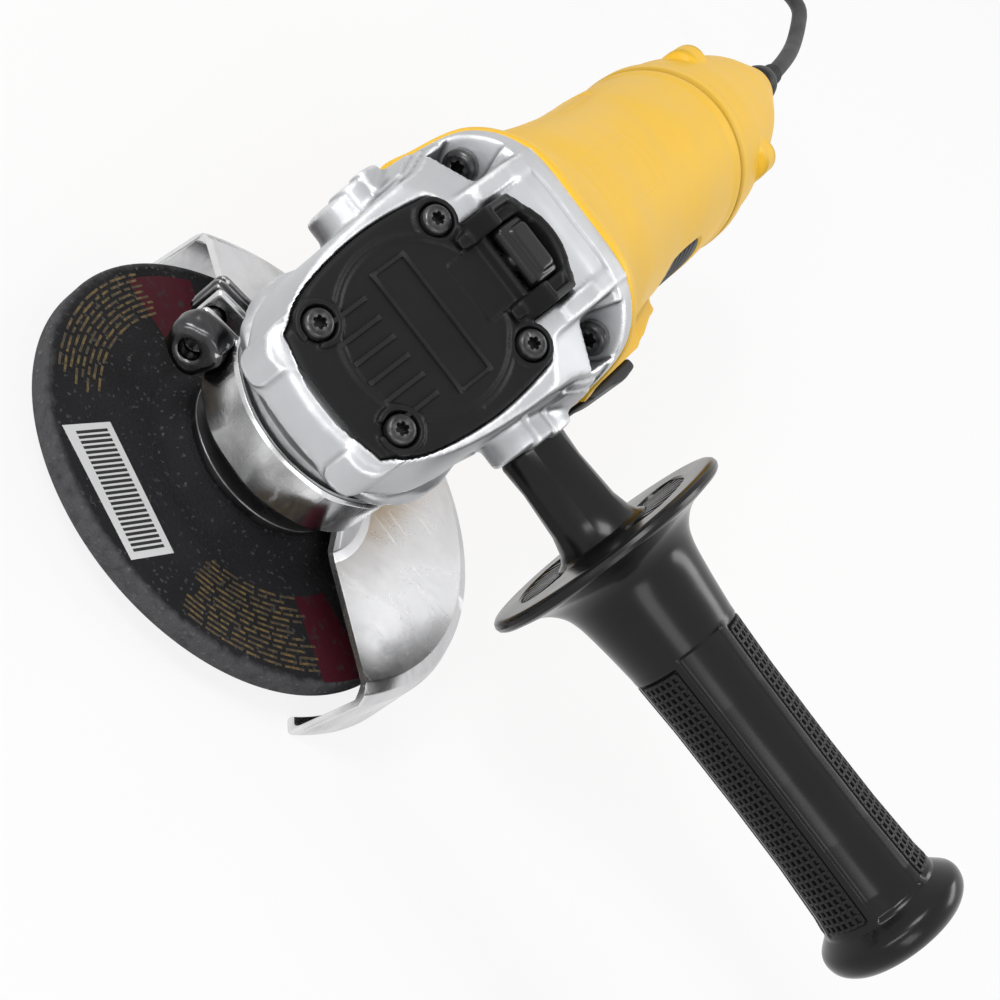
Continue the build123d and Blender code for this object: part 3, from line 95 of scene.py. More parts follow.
def wrap(name, points, faces, finish, sharp=40.0):
    """A closed piece from points in mm and faces, normals out, smooth apart from sharp edges."""
    placed = np.asarray(points, float) * MM + np.array((0.0, 0.0, AXES_HEIGHT * MM))
    return stand(name, closed_mesh(name, placed, faces, 2e-7), finish, sharp)


def stand(name, mesh, finish, sharp=40.0):
    """A mesh as an object at the origin with its material."""
    mesh.polygons.foreach_set("use_smooth", [True] * len(mesh.polygons))
    if sharp is not None:
        mesh.set_sharp_from_angle(angle=math.radians(sharp))
    mesh.materials.clear()
    mesh.materials.append(MATERIALS[finish])
    return linked(name, mesh)


def settle(piece, body, nodes=()):
    """Rides a piece on a body and hides the nodes that it stands for."""
    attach(piece, body)
    if nodes:
        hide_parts(*nodes)
    return piece


def rounded(profile, radius, steps):
    """A polygon with its corners cut by short arcs, from (r, h) points."""
    out = []
    count = len(profile)
    for i, point in enumerate(profile):
        here = np.array(point, float)
        before = np.array(profile[i - 1], float) - here
        after = np.array(profile[(i + 1) % count], float) - here
        lengths = np.linalg.norm(before), np.linalg.norm(after)
        before, after = before / lengths[0], after / lengths[1]
        turn = math.acos(max(-1.0, min(1.0, float(before @ after))))
        if turn > math.radians(172) or here[0] < 1e-6:
            out.append(tuple(here))
            continue
        reach = min(radius / math.tan(turn / 2), 0.45 * min(lengths))
        for k in range(steps + 1):
            t = k / steps
            out.append(tuple(here + before * reach * (1 - t) ** 2 + after * reach * t**2))
    return out


def ring_faces(count, n, around=False):
    """Quads between rings of n points. With around, the last ring joins the first."""
    faces = []
    for k in range(count if around else count - 1):
        here, far = k * n, (k + 1) % count * n
        faces += [[here + i, here + (i + 1) % n, far + (i + 1) % n, far + i] for i in range(n)]
    return faces


def fanned_faces(count, n):
    """Quads between rings, and fans to two last points, one for each end."""
    faces, last = ring_faces(count, n), (count - 1) * n
    for i in range(n):
        j = (i + 1) % n
        faces += [[last + n, j, i], [last + n + 1, last + i, last + j]]
    return faces


def swept(name, rings, finish, whole):
    """A closed skin over outlines set side by side, whole round or with its two ends capped."""
    count, n = len(rings), len(rings[0])
    points = np.concatenate(rings)
    faces = [[a, d, c, b] for a, b, c, d in ring_faces(count, n, whole)]
    if not whole:
        faces += [list(range(n)), [(count - 1) * n + i for i in range(n)]]
    return wrap(name, points, tidy(points, faces), finish)


def turned(name, profile, finish, axis="Z", centre=(0.0, 0.0), steps=120, start=None, end=None):
    """A turned solid of a closed (r, h) profile about Z or X. start and end give a part turn, per profile point."""
    profile = np.array(profile, float)
    whole = start is None
    low = np.zeros(len(profile)) if whole else np.asarray(start, float)
    high = np.full(len(profile), 360.0) if whole else np.asarray(end, float)
    rings = []
    for k in range(steps if whole else steps + 1):
        angle = np.radians(low + (high - low) * k / steps)
        a = profile[:, 0] * np.cos(angle) + centre[0]
        b = profile[:, 0] * np.sin(angle) + centre[1]
        rings.append(np.stack([a, b, profile[:, 1]] if axis == "Z" else [profile[:, 1], a, b], 1))
    return swept(name, rings, finish, whole)


def tidy(points, faces):
    """Drops repeated corners, so that a pole's quads become triangles."""
    keys = {}
    same = [keys.setdefault(tuple(np.round(p, 5)), i) for i, p in enumerate(points)]
    kept = []
    for face in faces:
        corners = []
        for corner in face:
            if same[corner] not in corners:
                corners.append(same[corner])
        if len(corners) > 2:
            kept.append(corners)
    return kept


def skin(name, rings, finish, sharp):
    """A closed skin over rings of equal length, its ends closed by fans."""
    rings = np.array(rings, float)
    points = np.vstack([rings.reshape(-1, 3), rings[0].mean(0), rings[-1].mean(0)])
    return wrap(name, points, fanned_faces(*rings.shape[:2]), finish, sharp)


def hollow(name, rings, finish, sharp):
    """A closed skin over rings whose last joins the first."""
    rings = np.array(rings, float)
    return wrap(name, rings.reshape(-1, 3), ring_faces(*rings.shape[:2], around=True), finish, sharp)


# ---- shapes from distance fields ----


class Field:
    """A grid over a box in mm, on which a form is written as signed distances."""

    def __init__(self, low, high, step):
        self.low = np.array(low, float)
        self.step = step
        self.counts = np.ceil((np.array(high, float) - self.low) / step).astype(int) + 1
        spans = [self.low[i] + step * np.arange(self.counts[i]) for i in range(3)]
        self.x = spans[0].reshape(-1, 1, 1)
        self.y = spans[1].reshape(1, -1, 1)
        self.z = spans[2].reshape(1, 1, -1)

    def nets(self, values):
        """Points in mm and quads of the zero surface, by surface nets."""
        f = np.broadcast_to(values, tuple(self.counts)).astype(np.float32)
        f[f == 0] = 1e-6
        inside = f < 0
        size = np.array(f.shape) - 1
        total = np.zeros(size, np.int8)
        for d in itertools.product((0, 1), repeat=3):
            total += inside[d[0]:size[0] + d[0], d[1]:size[1] + d[1], d[2]:size[2] + d[2]]
        mask = (total > 0) & (total < 8)
        cells = np.argwhere(mask)
        index = np.full(mask.shape, -1)
        index[mask] = np.arange(len(cells))
        sums = np.zeros((len(cells), 3))
        hits = np.zeros(len(cells))
        for a in itertools.product((0, 1), repeat=3):
            for axis in range(3):
                if a[axis]:
                    continue
                b = list(a)
                b[axis] = 1
                near = f[tuple((cells + a).T)]
                far = f[tuple((cells + b).T)]
                cross = (near < 0) != (far < 0)
                t = near[cross] / (near[cross] - far[cross])
                place = np.tile(np.array(a, float), (cross.sum(), 1))
                place[:, axis] += t
                sums[cross] += place
                hits[cross] += 1
        points = cells + sums / hits[:, None]
        faces = []
        for axis in range(3):
            u, v = (axis + 1) % 3, (axis + 2) % 3
            near, far = [slice(None)] * 3, [slice(None)] * 3
            near[axis], far[axis] = slice(0, -1), slice(1, None)
            places = np.argwhere(inside[tuple(near)] != inside[tuple(far)])
            places = places[(places[:, u] > 0) & (places[:, v] > 0)]
            places = places[(places[:, u] < size[u]) & (places[:, v] < size[v])]
            step_u, step_v = np.eye(3, dtype=int)[u], np.eye(3, dtype=int)[v]
            quad = [index[tuple((places - c).T)] for c in (step_u + step_v, step_v, 0 * step_u, step_u)]
            quad = np.stack(quad, 1)
            outward = inside[tuple(places.T)]
            quad[~outward] = quad[~outward][:, ::-1]
            faces.append(quad)
        return self.pulled(f, points) * self.step + self.low, np.concatenate(faces)

    def pulled(self, f, points):
        """Points moved on to the surface along the field's slope."""
        for _ in range(2):
            base = np.clip(points.astype(int), 0, np.array(f.shape) - 2)
            t = points - base
            value = 0.0
            slope = np.zeros_like(points)
            for d in itertools.product((0, 1), repeat=3):
                corner = f[tuple((base + d).T)]
                weights = [t[:, i] if d[i] else 1 - t[:, i] for i in range(3)]
                value = value + corner * weights[0] * weights[1] * weights[2]
                for i in range(3):
                    j, k = (i + 1) % 3, (i + 2) % 3
                    slope[:, i] += corner * (1 if d[i] else -1) * weights[j] * weights[k]
            length = np.maximum((slope**2).sum(1), 1e-3 * self.step**2)
            points = points - np.clip((value / length)[:, None] * slope, -0.4, 0.4)
        return points

    def plan(self, outline):
        """Distance to a closed outline seen from above."""
        return outline_distance(outline, self.x.ravel(), self.y.ravel())[:, :, None]

    def piece(self, name, values, finish):
        """The zero surface as an object."""
        return wrap(name, *self.nets(values), finish, None)


def both(a, b, k):
    """Where both forms are, with outer edges rounded over about k mm."""
    h = np.maximum(k - np.abs(a - b), 0) / k
    return np.maximum(a, b) + h * h * k * 0.25


def either(a, b, k):
    """Where either form is, with a fillet of about k mm between them."""
    h = np.maximum(k - np.abs(a - b), 0) / k
    return np.minimum(a, b) - h * h * k * 0.25


def less(a, b, k):
    """The first form with the second taken out."""
    return both(a, -b, k)


def slab(v, low, high):
    """Distance to the layer between two values."""
    return np.abs(v - (low + high) / 2) - (high - low) / 2


def brick(field, x, y, z, k):
    """A box with rounded edges between three pairs of limits."""
    return both(both(slab(field.x, *x), slab(field.y, *y), k), slab(field.z, *z), k)


def round_bar(u, v, radius, w, low, high, k):
    """A cylinder about the w direction."""
    return both(np.hypot(u, v) - radius, slab(w, low, high), k)


def outline_distance(points, u, v):
    """Signed distance in a plane to a closed outline, negative inside. u and v are 1-D spans."""
    points = np.array(points, float)
    gu, gv = np.meshgrid(u, v, indexing="ij")
    best = np.full(gu.shape, 1e9)
    odd = np.zeros(gu.shape, bool)
    for a, b in zip(points, np.roll(points, -1, 0)):
        d = b - a
        t = np.clip(((gu - a[0]) * d[0] + (gv - a[1]) * d[1]) / max(d @ d, 1e-12), 0, 1)
        best = np.minimum(best, (gu - a[0] - t * d[0]) ** 2 + (gv - a[1] - t * d[1]) ** 2)
        if a[1] != b[1]:
            crosses = (a[1] > gv) != (b[1] > gv)
            odd ^= crosses & (gu < (b[0] - a[0]) * (gv - a[1]) / (b[1] - a[1]) + a[0])
    return np.where(odd, -np.sqrt(best), np.sqrt(best))


def bend(points, per_span, closed=False):
    """Points along a smooth curve through the given ones."""
    p = np.array(points, float)
    n = len(p)
    out = []
    for i in range(n if closed else n - 1):
        p1, p2 = p[i], p[(i + 1) % n]
        p0 = p[i - 1] if closed or i else 2 * p1 - p2
        p3 = p[(i + 2) % n] if closed or i + 2 < n else 2 * p2 - p1
        for k in range(per_span):
            t = k / per_span
            out.append(0.5 * (2 * p1 + (p2 - p0) * t + (2 * p0 - 5 * p1 + 4 * p2 - p3) * t**2
                              + (3 * p1 - p0 - 3 * p2 + p3) * t**3))
    if not closed:
        out.append(p[-1])
    return np.array(out)


def plane_height(x):
    """Height of the slanted top plane at a station."""
    return COVER_AT[1] - (x - COVER_AT[0]) * math.tan(COVER_TILT)


def above_plane(field):
    """Distance above the slanted top plane."""
    return (field.z - plane_height(field.x)) * math.cos(COVER_TILT)


# ---- shader groups ----


def shader_group(name, inputs, outputs):
    """An empty shader node group with named number sockets."""
    tree = bpy.data.node_groups.new(name, "ShaderNodeTree")
    for label, value in inputs:
        tree.interface.new_socket(label, in_out="INPUT", socket_type="NodeSocketFloat").default_value = value
    for label in outputs:
        tree.interface.new_socket(label, in_out="OUTPUT", socket_type="NodeSocketFloat")
    return tree, add(tree, "NodeGroupInput").outputs, add(tree, "NodeGroupOutput").inputs


def feed(tree, socket, value):
    """Sets a socket to a number, a colour or a vector, or links another node's socket to it."""
    if isinstance(value, bpy.types.NodeSocket):
        tree.links.new(value, socket)
    elif socket.type == "RGBA":
        socket.default_value = (*value, 1.0)
    else:
        socket.default_value = value


def add(tree, kind, inputs=(), **settings):
    """A new node with its settings and inputs."""
    node = tree.nodes.new(kind)
    for label, value in settings.items():
        setattr(node, label, value)
    for label, value in dict(inputs).items():
        feed(tree, node.inputs[label], value)
    return node


def noise(tree, vector, scale, detail=4.0, roughness=0.55):
    """A noise on a vector socket."""
    inputs = {"Vector": vector, "Scale": scale, "Detail": detail, "Roughness": roughness}
    return add(tree, "ShaderNodeTexNoise", inputs).outputs["Fac"]


def math_node(tree, operation, *values, clamp=False):
    """A Math node; values are numbers or sockets."""
    return add(tree, "ShaderNodeMath", enumerate(values), operation=operation, use_clamp=clamp).outputs[0]


def spread(tree, value, low, high, to_low=0.0, to_high=1.0):
    """Map Range, clamped."""
    inputs = {"Value": value, "From Min": low, "From Max": high, "To Min": to_low, "To Max": to_high}
    return add(tree, "ShaderNodeMapRange", inputs).outputs["Result"]


def blend_colour(tree, factor, a, b):
    """Mix of two colours; each is a tuple or a socket."""
    return add(tree, "ShaderNodeMix", {0: factor, 6: a, 7: b}, data_type="RGBA").outputs[2]


def object_coordinates(tree):
    """Object coordinates."""
    return add(tree, "ShaderNodeTexCoord").outputs["Object"]


def make_grain():
    """Moulded or cast grain: a fine height and a slow mottle."""
    tree, given, result = shader_group(
        "surface_grain", [("Grain Size", 2500.0), ("Mottle Size", 60.0)], ["Height", "Mottle"])
    place = object_coordinates(tree)
    feed(tree, result["Height"], noise(tree, place, given["Grain Size"], 3.0))
    mottle = noise(tree, place, given["Mottle Size"], 5.0, 0.6)
    feed(tree, result["Mottle"], spread(tree, mottle, 0.3, 0.7))
    return tree


def make_edge_wear():
    """Worn convex edges, and painted shade in the hollows, from the mesh's own pointiness."""
    tree, given, result = shader_group(
        "edge_wear", [("Edge Low", 0.52), ("Edge High", 0.58), ("Break Up", 300.0)], ["Edge", "Painted_Hollow_Shade"])
    point = add(tree, "ShaderNodeNewGeometry").outputs["Pointiness"]
    rough = noise(tree, object_coordinates(tree), given["Break Up"], 4.0)
    uneven = math_node(tree, "MULTIPLY_ADD", math_node(tree, "SUBTRACT", rough, 0.5), 0.05, point)
    feed(tree, result["Edge"], spread(tree, uneven, given["Edge Low"], given["Edge High"]))
    # Painted shade mask: 1 where the mesh is concave, where shade falls.
    feed(tree, result["Painted_Hollow_Shade"], spread(tree, point, 0.49, 0.44))
    return tree


def make_smudges():
    """Greasy smears and fine scratches on bright metal."""
    tree, given, result = shader_group(
        "metal_smudges", [("Smear Size", 28.0), ("Scratch Size", 900.0)], ["Smear", "Scratch"])
    place = object_coordinates(tree)
    bent = add(tree, "ShaderNodeTexNoise", {"Scale": 18.0, "Vector": place}).outputs["Color"]
    shifted = add(tree, "ShaderNodeVectorMath", {0: bent, 1: (0.05, 0.05, 0.05), 2: place}, operation="MULTIPLY_ADD")
    smear = noise(tree, shifted.outputs[0], given["Smear Size"], 6.0, 0.62)
    feed(tree, result["Smear"], spread(tree, smear, 0.38, 0.66))
    lay = {"Scale": (1.0, 0.06, 0.2), "Rotation": (0.3, 0.2, 0.7), "Vector": place}
    stretched = add(tree, "ShaderNodeMapping", lay).outputs[0]
    scratch = noise(tree, stretched, given["Scratch Size"], 2.0)
    feed(tree, result["Scratch"], spread(tree, scratch, 0.62, 0.7))
    return tree


GROUPS = {}


def effect(tree, name, **values):
    """A placed shader group with its own values."""
    node = tree.nodes.new("ShaderNodeGroup")
    node.node_tree = GROUPS[name]
    for label, value in values.items():
        node.inputs[label.replace("_", " ").title()].default_value = value
    return node.outputs


def start_material(name, colour, roughness, metallic=0.0, coat=0.0, gleam=0.5):
    """A Principled material with plain values."""
    material = bpy.data.materials.new(name)
    material.use_nodes = True
    material.diffuse_color = (*colour, 1.0)
    tree = material.node_tree
    plain = {"Base Color": colour, "Roughness": roughness, "Metallic": metallic, "Coat Weight": coat,
             "Specular IOR Level": gleam, "Coat Roughness": 0.12}
    for label, value in plain.items():
        feed(tree, tree.nodes["Principled BSDF"].inputs[label], value)
    return material, tree


def tint(colour, share):
    """A colour with each channel made darker or lighter."""
    return tuple(c * share for c in colour)


def grey(level):
    """An even grey."""
    return (level, level, level)


def dressed(material, base, rough, height, strength, distance):
    """Gives the material's shader its colour, its roughness and a bump from a height."""
    tree = material.node_tree
    relief = {"Strength": strength, "Distance": distance, "Height": height}
    normal = add(tree, "ShaderNodeBump", relief).outputs["Normal"]
    for label, value in (("Base Color", base), ("Roughness", rough), ("Normal", normal)):
        feed(tree, tree.nodes["Principled BSDF"].inputs[label], value)
    return material


def moulding(name, colour, roughness, grain=0.25, worn=None, mottle=0.12, coat=0.0, gleam=0.5):
    """Moulded plastic or rubber: fine grain, slow mottle, lighter worn edges."""
    material, tree = start_material(name, colour, roughness, coat=coat, gleam=gleam)
    parts = effect(tree, "surface_grain", grain_size=2600.0, mottle_size=70.0)
    wear = effect(tree, "edge_wear", edge_low=0.53, edge_high=0.62)
    base = blend_colour(tree, parts["Mottle"], tint(colour, 1 - mottle), colour)
    # Painted shade: the colour darkens to 62% of itself in the hollows.
    base = blend_colour(tree, wear["Painted_Hollow_Shade"], base, tint(colour, 0.62))
    base = blend_colour(tree, math_node(tree, "MULTIPLY", wear["Edge"], 0.55), base, worn or colour)
    rough = spread(tree, parts["Mottle"], 0.0, 1.0, roughness * 0.86, min(roughness * 1.18, 1.0))
    return dressed(material, base, rough, parts["Height"], grain, 0.00012)


def bright_metal(name, colour, low, high, dull, smear_size=28.0, metallic=1.0, edge=None):
    """Bright metal with smears that dull it and a few scratches."""
    material, tree = start_material(name, colour, low, metallic)
    marks = effect(tree, "metal_smudges", smear_size=smear_size, scratch_size=700.0)
    wear = effect(tree, "edge_wear", edge_low=0.52, edge_high=0.6)
    base = blend_colour(tree, marks["Smear"], colour, dull)
    # Painted shade: the hollows take the smear colour darkened to 45%.
    base = blend_colour(tree, wear["Painted_Hollow_Shade"], base, tint(dull, 0.45))
    base = blend_colour(tree, math_node(tree, "MULTIPLY", wear["Edge"], 0.8), base, edge or colour)
    rough = spread(tree, marks["Smear"], 0.0, 1.0, low, high)
    scratched = math_node(tree, "MULTIPLY_ADD", marks["Scratch"], 0.12, rough, clamp=True)
    return dressed(material, base, scratched, marks["Smear"], 0.12, 0.0003)


def cast_metal(name, colour, low, high, metallic):
    """Die-cast aluminium: fine cast skin, bright struck edges, and painted shade that greys the hollows."""
    material, tree = start_material(name, colour, low, metallic)
    parts = effect(tree, "surface_grain", grain_size=1500.0, mottle_size=45.0)
    wear = effect(tree, "edge_wear", edge_low=0.515, edge_high=0.56)
    base = blend_colour(tree, parts["Mottle"], tint(colour, 0.76), tint(colour, 0.9))
    # Painted shade: the hollows darken to 42% of the casting's colour.
    base = blend_colour(tree, wear["Painted_Hollow_Shade"], base, tint(colour, 0.42))
    base = blend_colour(tree, wear["Edge"], base, (0.93, 0.93, 0.94))
    rough = spread(tree, parts["Mottle"], 0.0, 1.0, low, high)
    return dressed(material, base, rough, parts["Height"], 0.22, 0.00012)


def abrasive(name):
    """Resin-bonded grit: near black with glinting grains, a paler rim and a pressed mesh of fibres."""
    material, tree = start_material(name, (0.03, 0.03, 0.032), 0.85, gleam=0.18)
    place = object_coordinates(tree)
    cells = add(tree, "ShaderNodeTexVoronoi", {"Scale": 1500.0, "Vector": place}).outputs
    channel = add(tree, "ShaderNodeSeparateColor", {0: cells["Color"]}).outputs[0]
    glint = spread(tree, channel, 0.94, 0.98)
    patches = spread(tree, noise(tree, place, 45.0, 6.0), 0.35, 0.7)
    base = blend_colour(tree, patches, (0.008, 0.008, 0.009), (0.018, 0.018, 0.02))
    base = blend_colour(tree, math_node(tree, "MULTIPLY", glint, 0.3), base, (0.12, 0.12, 0.125))
    split = add(tree, "ShaderNodeSeparateXYZ", {0: place}).outputs
    squares = [math_node(tree, "POWER", split[label], 2.0) for label in "XY"]
    radius = math_node(tree, "SQRT", math_node(tree, "ADD", *squares))
    rim = spread(tree, math_node(tree, "MULTIPLY_ADD", noise(tree, place, 300.0), 0.004, radius), 0.0572, 0.0592)
    base = blend_colour(tree, math_node(tree, "MULTIPLY", rim, 0.7), base, (0.1, 0.1, 0.104))
    woven = add(tree, "ShaderNodeTexWave", {"Scale": 130.0, "Distortion": 2.0, "Vector": place}).outputs["Fac"]
    height = math_node(tree, "MULTIPLY_ADD", woven, 0.15, cells["Distance"])
    return dressed(material, base, spread(tree, glint, 0.0, 1.0, 0.88, 0.4), height, 0.7, 0.0004)


def printed(name, colour, roughness=0.7, wear_size=420.0, wear=0.35, under=(0.03, 0.03, 0.032)):
    """Ink on the wheel, with the grit showing through."""
    material, tree = start_material(name, colour, roughness, gleam=0.2)
    place = object_coordinates(tree)
    worn = spread(tree, noise(tree, place, wear_size, 6.0, 0.7), 0.66 - wear * 0.3, 0.74 - wear * 0.3)
    base = blend_colour(tree, math_node(tree, "MULTIPLY", worn, 0.75), colour, under)
    return dressed(material, base, roughness, noise(tree, place, 1500.0), 0.4, 0.0002)


MATERIALS = {}
# key, name, share of the moulding's colour, roughness, grain, colour of worn edges, mottle, coat, gleam
BLACK_MOULDINGS = (
    ("cover", "cover_black", 0.6, 0.4, 0.3, (0.035, 0.035, 0.036), 0.2, 0.0, 0.17),
    ("button", "button_black", 0.7, 0.28, 0.12, (0.05, 0.05, 0.052), 0.1, 0.1, 0.3),
    ("handle", "handle_black", 0.35, 0.22, 0.06, (0.014, 0.014, 0.015), 0.1, 0.06, 0.24),
    ("grip", "grip_black", 0.6, 0.45, 0.3, (0.02, 0.02, 0.021), 0.2, 0.0, 0.17),
    ("rubber", "cord_rubber", 0.8, 0.5, 0.2, (0.035, 0.035, 0.035), 0.2, 0.0, 0.25),
)
# key, name, colour, roughness clean and smeared, colour of smears, their size, metallic, colour of worn edges
METALS = (
    ("screw", "screw_black", (0.03, 0.03, 0.032), 0.22, 0.4, (0.02, 0.02, 0.021), 90.0, 0.6, (0.3, 0.3, 0.3)),
    ("plate", "guard_plating", (0.62, 0.62, 0.63), 0.16, 0.36, (0.44, 0.44, 0.45), 26.0, 1.0, (0.95, 0.95, 0.95)),
    ("band", "band_plating", (0.78, 0.78, 0.79), 0.12, 0.32, (0.42, 0.42, 0.42), 40.0, 1.0, (0.97, 0.97, 0.97)),
    ("dark_steel", "clamp_steel", (0.1, 0.1, 0.103), 0.12, 0.32, (0.03, 0.03, 0.031), 60.0, 1.0, (0.75, 0.75, 0.76)),
    ("flange_steel", "flange_steel", (0.13, 0.13, 0.135), 0.26, 0.48, (0.06, 0.06, 0.06), 50.0, 1.0, (0.5, 0.5, 0.5)),
    ("steel", "turned_steel", (0.62, 0.62, 0.63), 0.2, 0.38, (0.4, 0.4, 0.4), 60.0),
    ("gear", "gear_steel", (0.42, 0.42, 0.43), 0.25, 0.45, (0.2, 0.19, 0.17), 80.0),
    ("laminated", "laminated_steel", (0.3, 0.3, 0.31), 0.4, 0.6, (0.18, 0.16, 0.14), 90.0),
    ("copper", "copper_wire", (0.7, 0.3, 0.13), 0.3, 0.45, (0.4, 0.15, 0.07), 90.0),
    ("brass", "brass", (0.78, 0.6, 0.3), 0.2, 0.38, (0.5, 0.36, 0.16), 70.0),
)


def make_materials():
    """All the materials, by a short name."""
    colours = bpy.context.scene.grinder_colours
    GROUPS.update(surface_grain=make_grain(), edge_wear=make_edge_wear(), metal_smudges=make_smudges())
    yellow, black, metal = tuple(colours.housing), tuple(colours.moulding), tuple(colours.casting)
    MATERIALS.update({
        "case": cast_metal("case_casting", metal, 0.36, 0.48, 0.85),
        "yellow": moulding("housing_yellow", yellow, 0.42, 0.12, tuple(min(c, 1) for c in tint(yellow, 1.08)), 0.05,
                           gleam=0.28),
        "carbon": moulding("carbon", grey(0.02), 0.7, 0.5),
        "wheel": abrasive("wheel_abrasive"),
        "red_ink": printed("red_ink", (0.05, 0.004, 0.01)),
        "gold_ink": printed("gold_ink", (0.17, 0.115, 0.04), 0.5, 700.0, 0.75),
        "pale_paper": printed("pale_paper", grey(0.72), 0.6, 300.0, 0.02, grey(0.3)),
        "dark_ink": printed("dark_ink", grey(0.03), 0.6, 300.0, 0.02),
    })
    for key, name, share, roughness, grain, worn, mottle, coat, gleam in BLACK_MOULDINGS:
        MATERIALS[key] = moulding(name, tint(black, share), roughness, grain, worn, mottle, coat, gleam)
    for key, name, *values in METALS:
        MATERIALS[key] = bright_metal(name, *values)


# ---- repeated pieces by geometry nodes ----


def scatter_tree():
    """Geometry nodes: one piece repeated at points, turned by their "turn" and sized by their "grow"."""
    tree = bpy.data.node_groups.new("piece_repeater", "GeometryNodeTree")
    for label, kind in (("Points", "Geometry"), ("Piece", "Object"), ("Size", "Float"), ("Finish", "Material")):
        tree.interface.new_socket(label, in_out="INPUT", socket_type="NodeSocket" + kind)
    tree.interface.new_socket("Result", in_out="OUTPUT", socket_type="NodeSocketGeometry")
    given = add(tree, "NodeGroupInput").outputs
    turn, grow = [
        add(tree, "GeometryNodeInputNamedAttribute", {"Name": label}, data_type="FLOAT_VECTOR").outputs["Attribute"]
        for label in ("turn", "grow")]
    size = add(tree, "ShaderNodeVectorMath", {0: grow, "Scale": given["Size"]}, operation="SCALE")
    placed = add(tree, "GeometryNodeInstanceOnPoints", {
        "Points": add(tree, "GeometryNodeMeshToPoints", {"Mesh": given["Points"]}).outputs["Points"],
        "Instance": add(tree, "GeometryNodeObjectInfo", {"Object": given["Piece"]}).outputs["Geometry"],
        "Rotation": add(tree, "FunctionNodeEulerToRotation", {"Euler": turn}).outputs["Rotation"],
        "Scale": size.outputs["Vector"],
    })
    real = add(tree, "GeometryNodeRealizeInstances", {"Geometry": placed.outputs["Instances"]})
    finish = add(tree, "GeometryNodeSetMaterial",
                 {"Geometry": real.outputs["Geometry"], "Material": given["Finish"]})
    add(tree, "NodeGroupOutput", {"Result": finish.outputs["Geometry"]})
    return tree


def repeated(name, pattern, places, finish):
    """One plain mesh of a pattern at (point, turn, grow) places in mm. The pattern is drawn about 0 and removed."""
    mesh = bpy.data.meshes.new(name + "_points")
    mesh.from_pydata([spot(*place[0]) for place in places], [], [])
    for column, label in ((1, "turn"), (2, "grow")):
        attribute = mesh.attributes.new(label, "FLOAT_VECTOR", "POINT")
        attribute.data.foreach_set("vector", np.array([place[column] for place in places], float).ravel())
    carrier = linked(name + "_points", mesh)
    modifier = carrier.modifiers.new("repeat", "NODES")
    modifier.node_group = tree = bpy.data.node_groups.get("piece_repeater") or scatter_tree()
    sockets = {item.name: item.identifier for item in tree.interface.items_tree if item.in_out == "INPUT"}
    modifier[sockets["Piece"]] = pattern
    modifier[sockets["Size"]] = 1.0
    modifier[sockets["Finish"]] = MATERIALS[finish]
    carrier.update_tag()
    bpy.context.view_layer.update()
    result = bpy.data.meshes.new_from_object(carrier.evaluated_get(bpy.context.evaluated_depsgraph_get()))
    result.name = name
    bpy.data.objects.remove(carrier)
    bpy.data.objects.remove(pattern)
    return stand(name, result, finish)


def pattern_of(name, points, faces):
    """A pattern in mm about 0, for the repeater."""
    return linked(name + "_pattern", closed_mesh(name, np.array(points, float) * MM, faces, 1e-8))


def star(radius, depth, count):
    """A six-lobe outline."""
    angles = np.linspace(0, 2 * math.pi, count, endpoint=False)
    r = radius * (1 - depth + depth * np.cos(6 * angles))
    return np.stack([r * np.cos(angles), r * np.sin(angles)], 1)


def lobed_screw(head_r, head_h, shank_r, shank_l):
    """A screw up Z from its head's underside, with a six-lobe socket sunk in a domed head."""
    steps, dome = 72, 0.45
    angles = np.linspace(0, 2 * math.pi, steps, endpoint=False)
    circle = np.stack([np.cos(angles), np.sin(angles)], 1)
    lobes = star(head_r * 0.46, 0.13, steps)
    profile = [(shank_r * 0.7, -shank_l), (shank_r, -shank_l + 0.8), (shank_r, 0.0),
               (head_r - 0.15, 0.0), (head_r, 0.2)]
    for t in np.linspace(0, 1, 6):
        profile.append((head_r - head_h * dome * (1 - math.cos(t * math.pi / 2)),
                        head_h * (1 - dome) + head_h * dome * math.sin(t * math.pi / 2)))
    rings = [np.column_stack([circle * r, np.full(steps, z)]) for r, z in profile]
    for z, grow in ((head_h, 1.1), (head_h - 0.12, 1.0), (head_h * 0.3, 0.96)):
        rings.append(np.column_stack([lobes * grow, np.full(steps, z)]))
    points = np.vstack(rings + [np.array([[0, 0, -shank_l], [0, 0, head_h * 0.3]])])
    return pattern_of("screw", points, fanned_faces(len(rings), steps))


def pillow(top):
    """A small raised pad with sloping sides, 1 mm long, wide and high, for ribs, dashes and bars."""
    points = []
    for z, share in ((-0.5, 1.0), (0.0, 1.0), (0.35, 0.95), (0.5, top)):
        half = 0.5 - (1 - share) * 0.5
        points += [(-half, -half, z), (half, -half, z), (half, half, z), (-half, half, z)]
    return pattern_of("pad", points, ring_faces(4, 4) + [[3, 2, 1, 0], [12, 13, 14, 15]])


# ---- outlines shared by the case, its cover and the housing ----


def mirrored(flank):
    """The same flank on the other side, in the opposite order."""
    return flank[::-1] * np.array((1, -1))


def case_outline(grow=0.0):
    """The case from above."""
    side, nose, wide = 28.0 + grow, 40.0 + grow, 35.0 + grow
    corner = (nose - 3.6, 17.2 + grow)
    stations = [(-30.0, wide), (-22.0, side + 3.6), (-12.0, side + 0.6), (6.0, side - 0.4), (22.0, 24.6 + grow)]
    flank = bend(stations + [corner], 12)
    arc = bend([corner, (nose - 0.9, 9.0), (nose, 0.0), (nose - 0.9, -9.0), (corner[0], -corner[1])], 10)
    rear = CASE_REAR - 3
    return np.vstack([[(rear, wide)], flank, arc[1:-1], mirrored(flank), [(rear, -wide)]])


